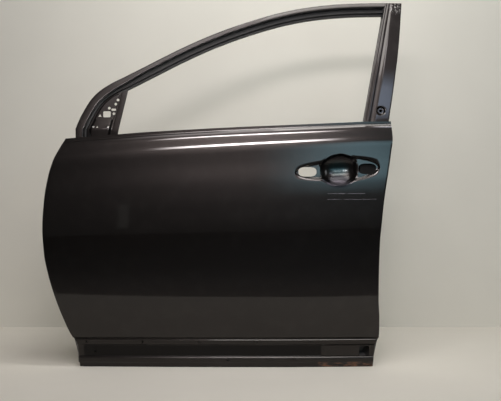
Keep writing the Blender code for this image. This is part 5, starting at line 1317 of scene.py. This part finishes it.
def studio():
    depth = FLOOR_BACK_Y - FLOOR_FRONT_Y
    middle = (FLOOR_FRONT_Y + FLOOR_BACK_Y) / 2
    stage_plane("floor", (ROOM_X, middle, FLOOR_Z), (ROOM_WIDTH, depth), 0, FLOOR)
    stage_plane("outer_floor", (ROOM_X, -2.6, FLOOR_Z - 0.002), (ROOM_WIDTH, 4.6), 0, OUTER_FLOOR)
    stage_plane("wall", (ROOM_X, WALL_Y, 1.0), (ROOM_WIDTH, 4.0), math.pi / 2, WALL, True)
    for lamp in LAMPS:
        area_light(*lamp)
    world = bpy.context.scene.world or bpy.data.worlds.new("room")
    bpy.context.scene.world = world
    world.use_nodes = True
    background = world.node_tree.nodes["Background"]
    background.inputs["Color"].default_value = (*CREAM, 1)
    background.inputs["Strength"].default_value = WORLD_STRENGTH
    bpy.context.scene.view_settings.view_transform = "Standard"


def camera():
    lens = bpy.data.cameras.new("camera")
    lens.sensor_fit = "HORIZONTAL"
    lens.sensor_width = SENSOR_WIDTH
    lens.lens = FOCAL_LENGTH
    made = add_object("camera", lens)
    made.location = CAMERA_PLACE
    made.rotation_euler = (CAMERA_TURN, 0, 0)
    bpy.context.scene.camera = made


camera()
studio()

BODY = paint("body_paint", 0.31, 1.0, 0.02, True)
FRAME_PAINT = paint("frame_paint", 0.40, 0.55, 0.05, False)
DULL_PAINT = satin("frame_paint_inside", (0.020, 0.017, 0.017), 0.45, 0.4)
PRIMER = satin("inner_paint", (0.100, 0.095, 0.095), 0.42, 0.30)
# Near-black paint of the glass-run channel: its own dark finish, deepened as painted shade for the
# channel's inside
CHANNEL_DARK_AND_SHADE = satin("channel_paint_and_shade", (0.006, 0.006, 0.006), 0.6, 0.1, spots=False)
# Painted shadow: a near-black, dull finish for the tray behind the rear handle hole, darker than
# its real dark paint so the hole reads as deep shade
TRAY_PAINTED_SHADOW = satin("tray_painted_shadow", (0.004, 0.004, 0.004), 0.9, 0.0, spots=False, coat=0.0)
ZINC = zinc("zinc")
MASTIC = rubber("mastic", (0.055, 0.055, 0.050))
BITUMEN = rubber("bitumen", (0.020, 0.018, 0.017))
SLOT_FINISH = {
    "body_paint": BODY, "frame_paint": DULL_PAINT, "inner_paint": PRIMER, "bare_steel": ZINC,
    "mastic": MASTIC, "bitumen": BITUMEN}

make_skin(BODY)
make_rail("rail_face", "header_outer", header_outer_section, RAIL_FACE_ROUND, FRAME_PAINT)
# The channel piece takes the near-black paint that also serves as painted shade
make_rail("rail_channel", "header_inner", header_inner_section, CHANNEL_ROUND, CHANNEL_DARK_AND_SHADE)
make_pillar(FRAME_PAINT)
make_sail(FRAME_PAINT)
make_mirror_bracket(FRAME_PAINT)
make_division_post(FRAME_PAINT)

for part in frame["record"]["subparts"]:
    node = frame["nodes"][part["node"]]
    node.data.materials.clear()
    node.data.materials.append(SLOT_FINISH[part["material_slot"]])
# Painted shadow: the tray behind the rear handle hole is made near-black
frame["nodes"]["handle_reinforcement"].data.materials[0] = TRAY_PAINTED_SHADOW
